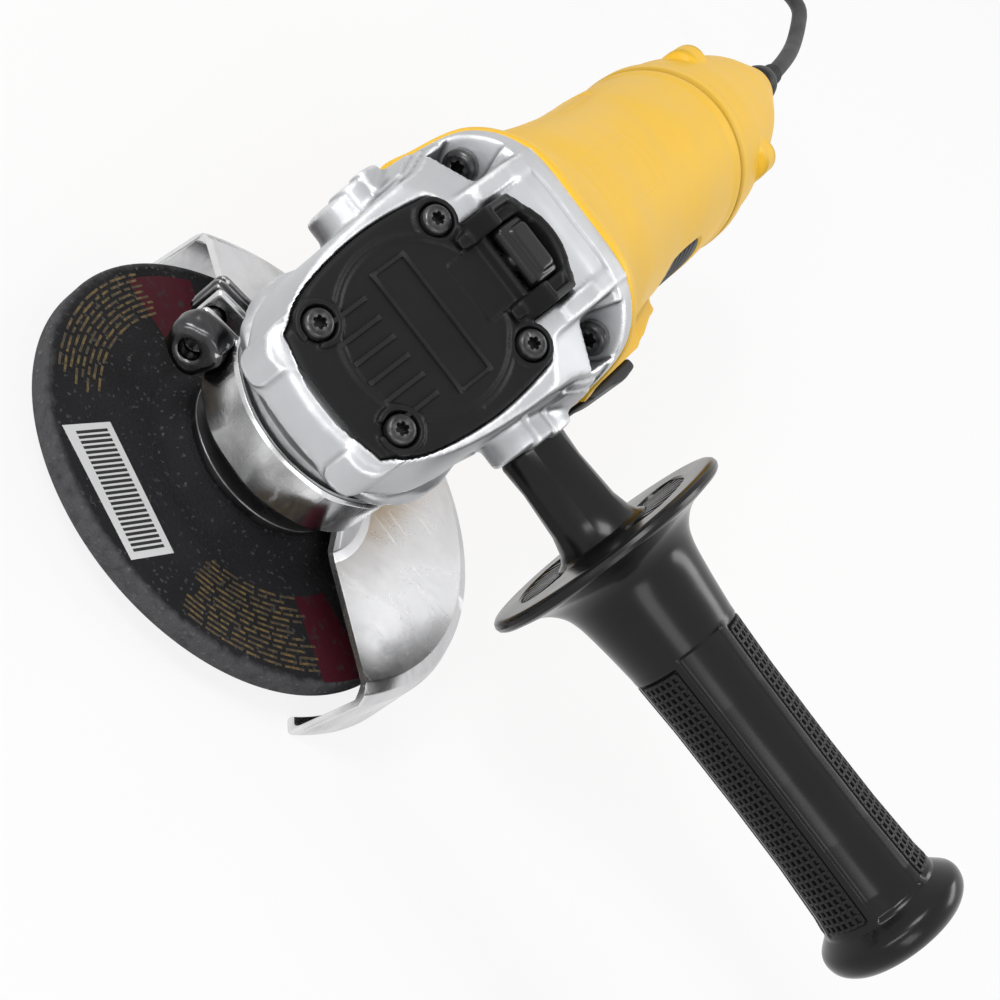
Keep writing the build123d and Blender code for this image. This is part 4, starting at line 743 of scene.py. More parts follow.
def flange_outline(grow=0.0):
    """The joint between case and housing, as (y, z)."""
    wide, top, low = 35.0 + grow, CASE_TOP + grow, -33.0 - grow
    points = [(-wide, 0.0), (-wide + 0.9, 12.0), (-29.5 - grow, 28.0), (-18.0, top - 0.6), (0.0, top + 0.6),
              (18.0, top - 0.6), (29.5 + grow, 28.0), (wide - 0.9, 12.0), (wide, 0.0),
              (25.0 + grow * 0.7, -22.0), (0.0, low), (-25.0 - grow * 0.7, -22.0)]
    return bend(points, 12, closed=True)


def cover_outline(shrink):
    """The cover from above."""
    side, rear = 24.3 - shrink, -6.8 + shrink
    corner = (35.4 - shrink, 16.3 - shrink * 0.5)
    flank = bend([(rear, 19.5 - shrink), (-4.6, 22.6 - shrink), (10.0, side), (25.0, 22.0 - shrink), corner], 12)
    arc = bend([corner, (36.9 - shrink, 8.4), (37.4 - shrink, 0.0), (36.9 - shrink, -8.4), (corner[0], -corner[1])], 10)
    return np.vstack([flank, arc[1:-1], mirrored(flank)])


def well_outline(shrink):
    """The lock button's well from above."""
    half, rear, front = 13.0 - shrink, -21.8 + shrink, -5.5
    stations = [(rear + 4.5, half), (rear + 1.1, half * 0.5), (rear, 0.0), (rear + 1.1, -half * 0.5)]
    arc = bend(stations + [(rear + 4.5, -half)], 8)
    return np.vstack([[(front, half)], arc, [(front, -half)]])


def turned_outline(radii, angles, theta):
    """Periodic interpolation of a radius over an angle."""
    order = np.argsort(angles)
    a, r = np.asarray(angles)[order], np.asarray(radii)[order]
    a = np.concatenate([a[-3:] - 2 * math.pi, a, a[:3] + 2 * math.pi])
    r = np.concatenate([r[-3:], r, r[:3]])
    return np.interp(np.mod(theta + math.pi, 2 * math.pi) - math.pi, a, r)


def through(stations, values, x):
    """Smooth interpolation along x of rows of values at rising stations."""
    stations, values = np.asarray(stations, float), np.asarray(values, float)
    if values.ndim == 1:
        values = values[:, None]
    slopes = np.gradient(values, stations, axis=0)
    i = np.clip(np.searchsorted(stations, x) - 1, 0, len(stations) - 2)
    h = (stations[i + 1] - stations[i])[:, None]
    t = ((x - stations[i])[:, None]) / h
    return ((2 * t**3 - 3 * t**2 + 1) * values[i] + (t**3 - 2 * t**2 + t) * h * slopes[i]
            + (-2 * t**3 + 3 * t**2) * values[i + 1] + (t**3 - t**2) * h * slopes[i + 1])


# ---- cord ----

CORD_R = 2.75
CORD_LOW = -60.15
CORD_MOUTH = 13.2
CORD_ROUTE = (
    (-274.0, 0.0, CORD_MOUTH), (-302.0, -1.2, 11.4), (-340.0, -7.5, 7.5), (-372.0, -15.0, 4.0), (-398.0, -36.0, -9.0),
    (-412.0, -64.0, -31.0), (-418.0, -92.0, -52.0), (-418.0, -118.0, CORD_LOW), (-418.0, -142.0, CORD_LOW),
)
COIL_CENTRE = (-382.5, -142.0)
COIL_PITCH = 5.9
COIL_OUTER = 35.5
# Where each turn lies in the coil, as (turns in from the outside, turns up), and the angle at which it moves on.
COIL_PLACES = ((0, 0), (1, 0), (2, 0), (2, 1), (2, 2), (1, 2), (1, 1), (0, 1), (0, 2))
COIL_MOVES = (108.0, 108.0, 78.0, 78.0, 48.0, 18.0, -12.0, -42.0)
MOVE_WIDTH = 80.0
PLUG_AT = (-348.5, -177.5, -56.4)
# distance along the plug, half its width and height there, and how square it is
PLUG_RINGS = (
    (0.0, 3.2, 3.2, 2.0), (0.3, 4.1, 4.1, 2.0), (3.0, 4.6, 4.4, 2.2), (8.0, 6.4, 5.2, 2.6), (12.0, 7.6, 5.6, 3.0),
    (13.0, 7.1, 5.3, 3.0), (14.6, 7.2, 5.35, 3.0), (15.4, 8.0, 5.75, 3.2), (17.4, 7.6, 5.5, 3.2),
    (19.0, 7.9, 5.6, 3.3), (20.0, 8.8, 5.95, 3.5), (22.0, 8.5, 5.8, 3.6), (25.0, 9.6, 6.1, 4.0),
    (32.0, 11.2, 6.4, 5.0), (40.6, 11.95, 6.5, 6.0), (41.6, 11.7, 6.3, 6.0), (42.0, 11.0, 5.7, 6.0),
)


def eased(t):
    """A smooth step from 0 to 1."""
    t = np.clip(t, 0.0, 1.0)
    return t * t * (3 - 2 * t)


def coil_points():
    """The coil's turns, 18 points each, from the run's end to the last turn's way out."""
    first, last = 180.0, 3150.0
    angles = np.arange(first + 20.0, last + 0.1, 20.0)
    places = np.array(COIL_PLACES, float)
    place = np.tile(places[0], (len(angles), 1))
    for k, at in enumerate(COIL_MOVES):
        share = eased((angles - (360.0 * (k + 1) + at)) / MOVE_WIDTH + 0.5)[:, None]
        place += share * (places[k + 1] - places[k])
    over = np.clip((angles - 3070.0) / 72.0, 0.0, 1.0) * math.pi / 2
    radius = COIL_OUTER - place[:, 0] * COIL_PITCH + COIL_PITCH * np.sin(over)
    height = CORD_LOW + place[:, 1] * COIL_PITCH - COIL_PITCH * (1 - np.cos(over))
    turn = np.radians(angles)
    return np.column_stack([COIL_CENTRE[0] + radius * np.cos(turn), COIL_CENTRE[1] + radius * np.sin(turn), height])


def cord_points():
    """The whole cord's control points in mm, from the strain relief to inside the plug."""
    coil = coil_points()
    end = coil[-1]
    tail = []
    for t in (0.25, 0.5, 0.75, 1.0):
        x = end[0] + (PLUG_AT[0] - end[0]) * t
        tail.append((x, end[1] + (PLUG_AT[1] - end[1]) * eased(t), end[2] + (PLUG_AT[2] - end[2]) * eased(t)))
    tail.append((PLUG_AT[0] + 4.0, PLUG_AT[1], PLUG_AT[2]))
    return np.vstack([np.array(CORD_ROUTE), coil, tail])


def spline_length(points, steps):
    """Length of a clamped curve of order 3 through control points."""
    mids = (points[:-1] + points[1:]) / 2
    starts = np.vstack([points[:1], mids[1:-1]])
    ends = mids[1:-1] if len(points) > 3 else mids[-1:]
    ends = np.vstack([ends, points[-1:]])
    total = 0.0
    for a, b, c in zip(starts, points[1:-1], ends):
        t = np.linspace(0, 1, steps + 1)[:, None]
        line = a * (1 - t) ** 2 + 2 * b * t * (1 - t) + c * t**2
        total += np.linalg.norm(np.diff(line, axis=0), axis=1).sum()
    return total


def build_cord():
    """The free cord with its coil, its strain relief and its plug."""
    ends = [build_relief(), build_plug(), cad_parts["plug_blades"]]
    points = cord_points()
    curve = bpy.data.curves.new("mains_cord", "CURVE")
    curve.dimensions = "3D"
    curve.bevel_depth = CORD_R * MM
    curve.bevel_resolution = curve.resolution_u = 6
    curve.use_fill_caps = True
    spline = curve.splines.new("NURBS")
    spline.points.add(len(points) - 1)
    for point, place in zip(spline.points, points):
        point.co = (*spot(*place), 1.0)
    spline.order_u = 3
    spline.use_endpoint_u = True
    curve.materials.append(MATERIALS["rubber"])
    cord = settle(linked("mains_cord", curve), "body", ("cord_run", "cord_coil", "cord_tail"))
    spline_length(points, 12) * MM


def build_relief():
    """Moulded strain relief: ball at the housing, ribbed sleeve, rounded end."""
    profile = [(2.8, -240.0), (4.2, -240.0), (4.2, -251.6), (5.5, -252.0), (6.1, -253.4), (6.2, -255.6),
               (5.7, -258.4), (4.6, -260.6)]
    for k in range(5):
        x = -262.0 - 2.2 * k
        r = 4.0 - 0.12 * k
        profile += [(r - 0.55, x + 0.5), (r, x), (r, x - 1.1), (r - 0.55, x - 1.5)]
    profile += [(3.2, -273.4), (2.85, -274.0), (2.8, -274.0)]
    piece = turned("strain_relief", rounded(profile, 0.5, 3), "rubber", "X", (0.0, CORD_MOUTH), 72)
    return settle(piece, "body", ("cord_protector",))


def build_plug():
    """Two-blade plug: lofted grip with finger ribs and a flat front."""
    columns = 72
    angles = np.linspace(0, 2 * math.pi, columns, endpoint=False)
    rings = []
    for x, half_y, half_z, power in PLUG_RINGS:
        sides = [half * np.sign(wave) * np.abs(wave) ** (2 / power)
                 for half, wave in ((half_y, np.cos(angles)), (half_z, np.sin(angles)))]
        rings.append(np.column_stack([np.full(columns, PLUG_AT[0] + x), PLUG_AT[1] + sides[0], PLUG_AT[2] + sides[1]]))
    return settle(skin("plug", rings, "rubber", 50.0), "body", ("plug_body",))


# ---- wheel, flange and guard ----

WHEEL_TOP = -51.5  # height of the wheel's flat upper face
SUNK = 0.2  # how far printed marks reach into the wheel
CLAMP_ANGLE = -78.0


def build_wheel():
    """Depressed-centre grinding wheel with its printed marks."""
    profile = [(8.0, -46.5), (20.6, -46.5), (22.4, -47.1), (26.6, -50.9), (28.4, WHEEL_TOP), (56.5, WHEEL_TOP),
               (57.1, -52.1), (57.15, -56.9), (56.5, -57.5), (27.4, -57.5), (25.6, -56.9), (21.4, -53.1),
               (19.6, -52.5), (8.0, -52.5)]
    wheel = turned("grinding_disc", rounded(profile, 0.5, 4), "wheel", steps=180)
    settle(wheel, "spindle", ("grinding_wheel",))
    label = np.array([(44.7, -31.2), (30.9, -26.3), (41.7, 5.3), (54.4, 1.0)])
    for piece in (
        ring_sheet("wheel_sector_1", (30.5, 53.0), (-122.0, -98.0)),
        ring_sheet("wheel_sector_2", (34.5, 56.4), (60.0, 77.0)),
        prism("wheel_label", label, 0.06),
        wheel_bars(label),
        wheel_dashes(),
    ):
        settle(piece, "spindle")


def ring_sheet(name, radii, span):
    """A thin red sector lying on the wheel."""
    low, high = WHEEL_TOP - SUNK, WHEEL_TOP + 0.03
    profile = [(radii[0], low), (radii[1], low), (radii[1], high), (radii[0], high)]
    return turned(name, profile, "red_ink", steps=40, start=[span[0]] * 4, end=[span[1]] * 4)


def prism(name, corners, lift):
    """A thin pale patch lying on the wheel, with the given corners."""
    n = len(corners)
    points = [(x, y, z) for z in (WHEEL_TOP - SUNK, WHEEL_TOP + lift) for x, y in corners]
    faces = [list(range(n))[::-1], [n + i for i in range(n)]]
    return wrap(name, points, faces + ring_faces(2, n), "pale_paper")


def wheel_bars(corners):
    """Evenly spaced plain bars across the pale patch."""
    origin, across, along = corners[1], corners[0] - corners[1], corners[2] - corners[1]
    angle = math.atan2(along[1], along[0])
    count, size = 24, (0.75, np.linalg.norm(across) * 0.66, 0.05)
    places = []
    for k in range(count):
        middle = origin + across * 0.46 + along * (0.06 + 0.88 * k / (count - 1))
        places.append(((*middle, WHEEL_TOP + 0.07), (0.0, 0.0, angle), size))
    return repeated("wheel_bars", pillow(0.98), places, "dark_ink")


def wheel_dashes():
    """Rows of ruled dashes in two sectors, where the printed lines of text were."""
    draw = np.random.default_rng(7)
    places = []
    for low, high, inner in ((-104.0, -48.0, 43.0), (16.0, 62.0, 35.0)):
        for radius in np.arange(inner, 55.0, 1.55):
            angle = low + draw.uniform(0.5, 4.0)
            while angle < high - 2.0:
                length = draw.uniform(2.0, 6.5)
                turn = math.degrees(length / radius)
                if angle + turn > high:
                    break
                middle = math.radians(angle + turn / 2)
                places.append(((radius * math.cos(middle), radius * math.sin(middle), WHEEL_TOP + 0.03),
                               (0.0, 0.0, middle + math.pi / 2), (length, 0.62, 0.07)))
                angle += turn + math.degrees(draw.uniform(0.7, 1.4) / radius)
    return repeated("wheel_dashes", pillow(0.98), places, "gold_ink")


def build_flange():
    """Dished steel flange under the guard."""
    profile = [(8.0, -46.45), (21.0, -46.45), (21.8, -45.7), (21.8, -43.9), (19.8, -43.1), (15.0, -41.0),
               (9.66, -41.0), (9.66, -43.0), (8.0, -43.0)]
    piece = turned("wheel_flange", rounded(profile, 0.5, 4), "flange_steel")
    settle(piece, "spindle", ("backing_flange",))


def build_guard():
    """Pressed wheel guard with its shoulder, skirt and lip."""
    profile = [
        (22.7, -33.3), (23.9, -33.3), (23.9, -38.1), (28.3, -42.7), (30.7, -43.3), (60.5, -43.3), (63.3, -44.5),
        (64.5, -47.3), (64.5, -62.2), (63.7, GUARD_LIP), (59.9, GUARD_LIP), (59.9, -61.4), (62.9, -61.4),
        (62.9, -47.3), (61.7, -46.1), (60.1, -44.9), (30.5, -44.9), (27.3, -44.0), (22.7, -39.3),
    ]
    line = np.array(rounded(profile, 1.3, 4))
    r, z = line[:, 0], line[:, 1]
    drop = np.clip((-47.3 - z) / 15.7, 0, 1)
    start = np.interp(r, [22.9, 62.5], [77.7, 63.0]) - 6.5 * drop
    end = np.full(len(r), 236.0) + 3.0 * drop
    piece = turned("wheel_guard", line, "plate", steps=150, start=start, end=end)
    settle(piece, "guard", ("guard",))


def build_band():
    """Bright clamp band, slightly dented, with rolled edges and a gap at the clamp."""
    profile = np.array(rounded([(23.95, -37.5), (25.3, -37.5), (25.9, -36.6), (25.7, -31.0), (25.9, -25.4),
                                (25.3, -24.4), (23.95, -24.4)], 0.5, 4))
    r, z = profile[:, 0], profile[:, 1]
    steps, half_gap = 220, 8.2
    low, high = CLAMP_ANGLE + half_gap, CLAMP_ANGLE + 360.0 - half_gap
    rings = []
    for k in range(steps + 1):
        angle = math.radians(low + (high - low) * k / steps)
        dent = 0.22 * np.sin(3.1 * angle + 0.35 * z) * math.sin(5.3 * angle + 1.0)
        dent = dent + 0.12 * np.sin(11.0 * angle - 0.5 * z)
        dented = r + np.where(r > 24.5, dent, 0.0)
        rings.append(np.column_stack([dented * math.cos(angle), dented * math.sin(angle), z]))
    settle(swept("clamp_ring", rings, "band", False), "guard", ("clamp_band",))


def clamp_piece(name, field, values, finish, nodes=()):
    """A piece drawn in the clamp's own frame, turned into place on the guard."""
    points, faces = field.nets(values)
    c, s = math.cos(math.radians(CLAMP_ANGLE)), math.sin(math.radians(CLAMP_ANGLE))
    x, y, z = points.T
    placed = np.column_stack([x * c - y * s, x * s + y * c, z])
    settle(wrap(name, placed, faces, finish, None), "guard", nodes)


def build_ears():
    """Clamp ears, the screw's lobed head with its socket, and the ridged nut plate."""
    f = Field((22.0, -13.5, -40.0), (39.6, 14.8, -22.0), 0.4)
    screw = np.hypot(f.x - 31.5, f.z + 31.0)
    ears = np.minimum(*(brick(f, (23.2, 35.6), limits, (-36.8, -25.0), 1.4) for limits in ((-5.6, -3.3), (3.3, 5.6))))
    ears = less(ears, screw - 2.7, 0.4)
    clamp_piece("clamp_ears", f, ears, "band")
    around = np.arctan2(f.z + 30.6, f.x - 30.9)
    lobes = 6.8 + 0.42 * np.sin(3 * around + 0.8) + 0.2 * np.sin(5 * around - 0.6)
    head = both(np.hypot(f.x - 30.9, f.z + 30.6) - lobes, slab(f.y, 5.7, 13.2), 2.6)
    head = either(head, brick(f, (25.2, 36.6), (5.7, 10.2), (-37.8, -24.0), 2.4), 1.4)
    head = less(head, both(screw - 2.6, 8.6 - f.y, 0.4), 0.8)
    head = np.minimum(head, both(screw - 2.5, slab(f.y, -11.0, 9.0), 0.3))
    clamp_piece("clamp_bolt", f, head, "dark_steel", ("clamp_screw",))
    nut = less(brick(f, (25.4, 37.4), (-11.4, -5.7), (-37.0, -25.0), 2.2), screw - 2.62, 0.5)
    rim = 5.1 - np.maximum(np.abs(f.x - 31.4), np.abs(f.z + 31.0))
    for y in (-10.2, -8.4, -6.8):
        nut = less(nut, both(np.abs(f.y - y) - 0.32, rim, 0.5), 0.6)
    clamp_piece("clamp_nut_plate", f, nut, "dark_steel", ("clamp_screw_nut",))


# ---- case, bearing box and cover ----

# flat raised pads on each side of the case, as x, y and z limits and the roundness of their outline
RAISED_PADS = (
    ((HANDLE_X - 7.6, HANDLE_X + 7.6), (22.0, 40.0), (HANDLE_Z, HANDLE_Z + 17.5), 3.4),
    ((-28.6, -15.8), (24.0, 40.0), (6.0, 21.5), 3.4),
    ((24.0, 46.0), (10.4, 19.6), (-9.3, 8.0), 3.0),
)


def case_shape(f):
    """The case's outer form as distances."""
    tunnel = outline_distance(flange_outline(), f.y.ravel(), f.z.ravel())[None, :, :]
    side, plane = np.abs(f.y), above_plane(f)
    body = both(f.plan(case_outline()), tunnel, 3.4)
    body = both(body, CASE_REAR - f.x, 0.8)
    body = less(body, both(-25.35 - f.x, f.z - CASE_SPLIT, 1.0), 1.2)
    body = both(body, plane, 1.4)
    step_down = both(18.6 - side, f.z * -1 + (28.0 - (side - 20.2) * 0.385), 1.6)
    step_down = both(step_down, -30.6 - f.x, 1.0)
    body = less(body, step_down, 0.8)
    body = np.minimum(body, both(body - 0.7, f.x + 31.2, 0.5))
    for sign in (-1, 1):
        boss = round_bar(f.x - HANDLE_X, f.z - HANDLE_Z, 9.9, f.y * sign, 12.0, 35.6, 1.4)
        body = either(body, boss, 1.6)
        column = round_bar(f.x - 34.6, f.y - sign * 13.8, 4.7, f.z, CASE_SPLIT, 30.0, 1.0)
        body = either(body, both(column, plane, 1.6), 2.2)
        rib = brick(f, (-38.4, -13.0), sorted((sign * 13.8, sign * 18.4)), (20.0, 38.0), 0.9)
        body = either(body, both(rib, plane - 1.2, 0.9), 0.7)
        for x, y, z, k in RAISED_PADS:
            pad = brick(f, x, sorted((sign * y[0], sign * y[1])), z, k)
            body = np.minimum(body, both(both(body - 0.75, pad, 0.5), plane + 0.1, 0.6))
    return body


def case_cuts(f, body):
    """Seats, wells, bores and pockets taken out of the case. Each last cut has a limit, a corner and a blend."""
    for sign in (-1, 1):
        hole = round_bar(f.x - HANDLE_X, f.z - HANDLE_Z, 4.25, f.y * sign, 21.6, 40.0, 0.3)
        body = less(body, hole, 0.8)
        y, z = f.y * sign - FLANGE_SCREW[0], f.z - FLANGE_SCREW[1]
        lean = np.clip((y * 0.29 + z * 0.957) / 12.0, 0, 1) * 12.0
        pocket = np.hypot(y - lean * 0.29, z - lean * 0.957) - 6.0
        ramp = (f.x + 24.5) * 0.8 + (z - 4.0) * 0.35
        body = less(body, both(both(pocket, -33.0 - f.x, 0.6), ramp, 1.6), 0.7)
    radius, axis = np.hypot(f.x, f.y), np.hypot(f.y, f.z)
    for cut, limit, corner, k in (
        (f.plan(cover_outline(-0.25)), -2.45 - above_plane(f), 0.6, 0.8),
        (f.plan(well_outline(-0.15)), 25.9 - f.z, 0.6, 0.9),
        (radius - 23.9, f.z - 5.0, 1.0, 0.5),
        (radius - 9.0, f.z - 22.0, 0.8, 0.5),
        (axis - 9.8, f.x, 0.8, 0.5),
        (axis - 14.4, f.x + 24.0, 0.8, 0.5),
        (np.hypot(f.x - BUTTON_X, f.y) - 3.7, slab(f.z, 0.0, 30.0), 0.3, 0.4),
    ):
        body = less(body, both(cut, limit, corner), k)
    return body


def build_case():
    """Die-cast gear case with cast fillets, pockets, ribs, raised pads and handle bosses."""
    f = Field((-39.4, -37.6, -35.4), (42.2, 37.6, 40.6), 0.62)
    piece = f.piece("case_casting", case_cuts(f, case_shape(f)), "case")
    settle(piece, "body", ("gear_case",))


def build_bearing_box():
    """Lower part of the casting: stepped rings down to the clamp band's collar."""
    f = Field((-27.0, -30.0, -40.0), (42.2, 30.0, -8.6), 0.7)
    radius = np.hypot(f.x, f.y)
    body = both(f.plan(case_outline(-0.1)), slab(f.z, -16.6, -10.1), 2.0)
    body = both(body, radius - 37.0 - (f.z + 10.0) * 0.8, 1.6)
    step = both(radius - 29.6, slab(f.z, -18.6, -12.0), 1.6)
    collar = both(radius - 24.0, slab(f.z, -24.2, -12.0), 1.2)
    neck = both(radius - 22.3, slab(f.z, -38.5, -12.0), 0.8)
    body = np.minimum(either(either(body, step, 1.6), collar, 1.2), neck)
    body = both(body, -25.2 - f.x, 0.8)
    body = less(body, both(radius - 17.55, f.z + 26.0, 0.3), 0.4)
    body = less(body, both(radius - 12.1, slab(f.z, -30.0, -23.0), 0.3), 0.4)
    cone = radius - 12.1 - (f.z + 24.4) * 1.02
    body = less(body, both(both(cone, radius - 20.2, 0.6), -24.4 - f.z, 0.3), 0.4)
    settle(f.piece("bearing_housing", body, "case"), "body", ("bearing_box",))


def along_plane(f):
    """Distance down the slanted plane from its upper edge."""
    return (f.x - COVER_AT[0]) * math.cos(COVER_TILT) - (f.z - COVER_AT[1]) * math.sin(COVER_TILT)


def down_to(x):
    """Distance down the slanted plane to a station seen from above."""
    return (x - COVER_AT[0]) / math.cos(COVER_TILT)


def build_cover():
    """Slanted black cover with the button's guide, a curved bead and screw bosses, C-shaped at the front."""
    f = Field((-23.4, -26.0, 1.0), (39.4, 26.0, 39.4), 0.5)
    up, down = above_plane(f), along_plane(f)
    plan = f.plan(cover_outline(0.1))
    plate = both(plan, slab(up, -2.4, 0.3), 1.2)
    guide = both(both(f.plan(well_outline(0.15)), 26.1 - f.z, 0.6), np.minimum(up - 1.7, f.z - 36.9), 1.0)
    room = both(both(f.plan(well_outline(2.0)), 27.7 - f.z, 0.8), f.x + 7.0, 0.8)
    cover = less(either(plate, guide, 0.6), room, 0.8)
    cover = less(cover, both(both(np.abs(f.y) - 7.7, slab(f.x, -9.0, 0.6), 0.4), -0.25 - up, 0.4), 0.5)
    cover = either(cover, brick(f, (-8.8, -7.0), (-7.9, 7.9), (25.6, 30.5), 0.5), 0.4)
    for sign in (-1, 1):
        rail = both(both(slab(f.x, -18.6, 2.4), slab(f.y * sign, 7.9, 11.2), 0.9), slab(up, -4.0, 1.9), 1.0)
        cover = either(cover, both(rail, 27.0 - f.z, 0.5), 0.7)
    ring = np.hypot(down - down_to(12.0), f.y)
    bead = both(np.abs(ring - 20.2) - 0.75, np.abs(up) - 0.95, 0.7)
    cover = either(cover, both(both(bead, -3.0 - f.x, 0.5), plan + 1.6, 0.5), 0.6)
    for (x, half), sign in itertools.product(COVER_SCREWS, (-1, 1)):
        u, v = down - down_to(x), f.y - sign * half
        radius = np.hypot(u, v)
        if x > 0:
            mouth = both(np.abs(v + sign * u * 0.7) - 1.8, u * -1, 0.5)
            boss = less(both(np.abs(radius - 4.75) - 0.85, np.abs(up) - 1.35, 0.7), mouth, 0.5)
        else:
            boss = both(np.abs(radius - 4.7) - 0.7, np.abs(up) - 0.8, 0.6)
        cover = less(either(cover, boss, 0.5), both(radius - 3.95, -0.85 - up, 0.3), 0.5)
        cover = less(cover, radius - 1.9, 0.3)
    cover = less(cover, brick(f, (-17.9, -8.9), (-7.85, 7.85), (20.0, 31.0), 0.3), 0.3)
    cover = less(cover, both(np.hypot(f.x - BUTTON_X, f.y) - 3.8, f.z - 31.0, 0.3), 0.3)
    settle(f.piece("cover_moulding", cover, "cover"), "body", ("gear_case_cover",))


def on_cover(x, y, lift):
    """A point above the slanted plane at a station seen from above."""
    return (x + math.sin(COVER_TILT) * lift, y, plane_height(x) + math.cos(COVER_TILT) * lift)


def build_cover_bars():
    """The cover's plain frame of raised lines and its six short bars."""
    places = []
    for stations, lift, size in (
        ([(23.4, -12.5 + 5.0 * n) for n in range(6)], 0.45, (12.4, 1.25, 1.2)),
        ([(6.6, 0.0), (14.4, 0.0)], 0.4, (1.15, 32.0, 1.0)),
        ([(10.5, -15.4), (10.5, 15.4)], 0.4, (8.6, 1.0, 0.9)),
    ):
        places += [(on_cover(x, y, lift), (0.0, COVER_TILT, 0.0), size) for x, y in stations]
    settle(repeated("cover_bars", pillow(0.72), places, "cover"), "body")


def build_button():
    """Ridged, stepped spindle-lock button."""
    f = Field((-18.6, -8.6, 28.9), (-8.2, 8.6, 37.6), 0.25)
    cap = brick(f, (-17.4, -9.4), (-7.5, 7.5), (30.8, 36.2), 1.2)
    slope = (f.z - 33.6 - (-9.4 - f.x) * 0.3) * 0.958
    cap = both(cap, slope, 1.2)
    step = brick(f, (-16.6, -11.2), (-5.9, 5.9), (33.0, 37.2), 1.4)
    cap = either(cap, both(step, slope - 0.8, 0.8), 0.6)
    for n in range(4):
        cap = less(cap, np.hypot(f.x + 15.8 - 1.35 * n, f.z - 37.25 + 0.4 * n) - 0.42, 0.3)
    cap = np.minimum(cap, both(np.hypot(f.x - BUTTON_X, f.y) - 3.0, slab(f.z, 29.85, 31.5), 0.3))
    settle(f.piece("lock_button_cap", cap, "button"), "lock", ("lock_button",))


def spun(tilt, spin):
    """Turn of a screw spun about its own axis, then tilted about Y."""
    return tuple((Matrix.Rotation(tilt, 3, "Y") @ Matrix.Rotation(spin, 3, "Z")).to_euler())


def build_screws():
    """The cover's, the case's and the tail's lobed screws."""
    quarter = math.pi / 2
    cover = [(on_cover(x, sign * y, -0.85), COVER_TILT, 0.3 * x + 0.4 * sign)
             for x, y in COVER_SCREWS for sign in (-1, 1)]
    case = [((-33.0, sign * FLANGE_SCREW[0], FLANGE_SCREW[1]), quarter, 0.35 * sign) for sign in (-1, 1)]
    rear = [((-208.4, sign * REAR_SCREW[0], REAR_SCREW[1]), -quarter, 0.5 * sign) for sign in (-1, 1)]
    # name, node, then the head's radius and height and the shank's radius and length
    for name, node, screw, set_out in (
        ("cover_screw_set", "cover_screws", (3.5, 2.6, 1.85, 12.0), cover),
        ("case_screw_set", "motor_screws", (4.2, 3.2, 2.2, 18.0), case),
        ("rear_screw_set", "rear_screws", (3.0, 2.2, 1.6, 13.0), rear),
    ):
        places = [(point, spun(tilt, spin), (1.0, 1.0, 1.0)) for point, tilt, spin in set_out]
        settle(repeated(name, lobed_screw(*screw), places, "screw"), "body", (node,))


# ---- motor housing ----

COLUMNS = 288
THETA = np.linspace(-math.pi, math.pi, COLUMNS, endpoint=False)
BARREL_FRONT, BARREL_END = -38.05, -175.8
TAIL_FRONT, TAIL_END = -176.2, -251.8
BARREL_BORE = 25.0
FRONT_STATIONS = (-38.0, -40.0, -50.0, -62.0, -84.0, -104.0, -122.0, -150.0, -176.0)
# station, radius and rise of the tail's axis
TAIL_STATIONS = (
    (-176.0, 27.6, 0.0), (-192.0, 27.1, 0.0), (-200.0, 26.7, 0.1), (-208.0, 25.2, 0.5), (-220.0, 22.8, 1.6),
    (-233.0, 19.2, 3.6), (-244.0, 13.8, 6.4), (-252.0, 7.8, 10.8),
)


def soft_max(a, b, k):
    """The larger of two heights, with a blend of about k mm."""
    h = np.maximum(k - np.abs(a - b), 0) / k
    return np.maximum(a, b) + h * h * k * 0.25


def inset_lobe(x, z):
    """Distance from the middle line of a long inset on the barrel's flank."""
    return np.hypot(np.clip(np.abs(x + 129.0) - 10.0, 0, None), z - 7.5)


def ring_at(place, radius, height=0.0):
    """A ring of points about X at a station, with its axis raised."""
    return np.column_stack([np.full(COLUMNS, place), radius * np.cos(THETA), height + radius * np.sin(THETA)])


def front_radius(x):
    """Housing radius at stations x (rows) round the axis (columns)."""
    outline = flange_outline(1.2)
    polar = np.hypot(outline[:, 0], outline[:, 1])
    flange = turned_outline(polar, np.arctan2(outline[:, 1], outline[:, 0]), THETA)
    rows = [flange, flange, flange * 0.45 + 33.6 * 0.55]
    rows += [np.full(COLUMNS, r) for r in (33.0, 31.2, 29.3, 28.3, 28.3, 27.6)]
    base = through(np.array(FRONT_STATIONS[::-1]), np.array(rows[::-1]), x)
    y, z = np.cos(THETA), np.sin(THETA)
    top = np.interp(x, [-100.0, -78.0, -38.4], [30.6, 35.4, 35.4])[:, None]
    pad = np.where(y > 0.2, np.minimum(top / np.maximum(y, 0.2), 9.9 / np.maximum(np.abs(z), 1e-3)), 0.0)
    fade = np.interp(x, [-101.0, -99.0], [0.0, 1.0])[:, None]
    base = soft_max(base, pad * fade, 1.6)
    ridge = (28.6 - np.abs(x + 178.0) * 0.1)[:, None]
    base = np.where((x < -171.0)[:, None], soft_max(base, ridge, 0.8), base)
    track = (y > 0.2) & (np.abs(z) * base < 8.4)
    return np.where(track, np.minimum(base, 35.45 / np.maximum(y, 0.2)), base)


def inner_ring(place, radius, height=0.0, groove=26.9):
    """A ring of the inner skin, with a groove for the flat rod that the switch button moves."""
    y, z = np.cos(THETA), np.sin(THETA)
    return ring_at(place, np.where((y > 0) & (np.abs(z) * groove < 4.6), max(groove, radius), radius), height)


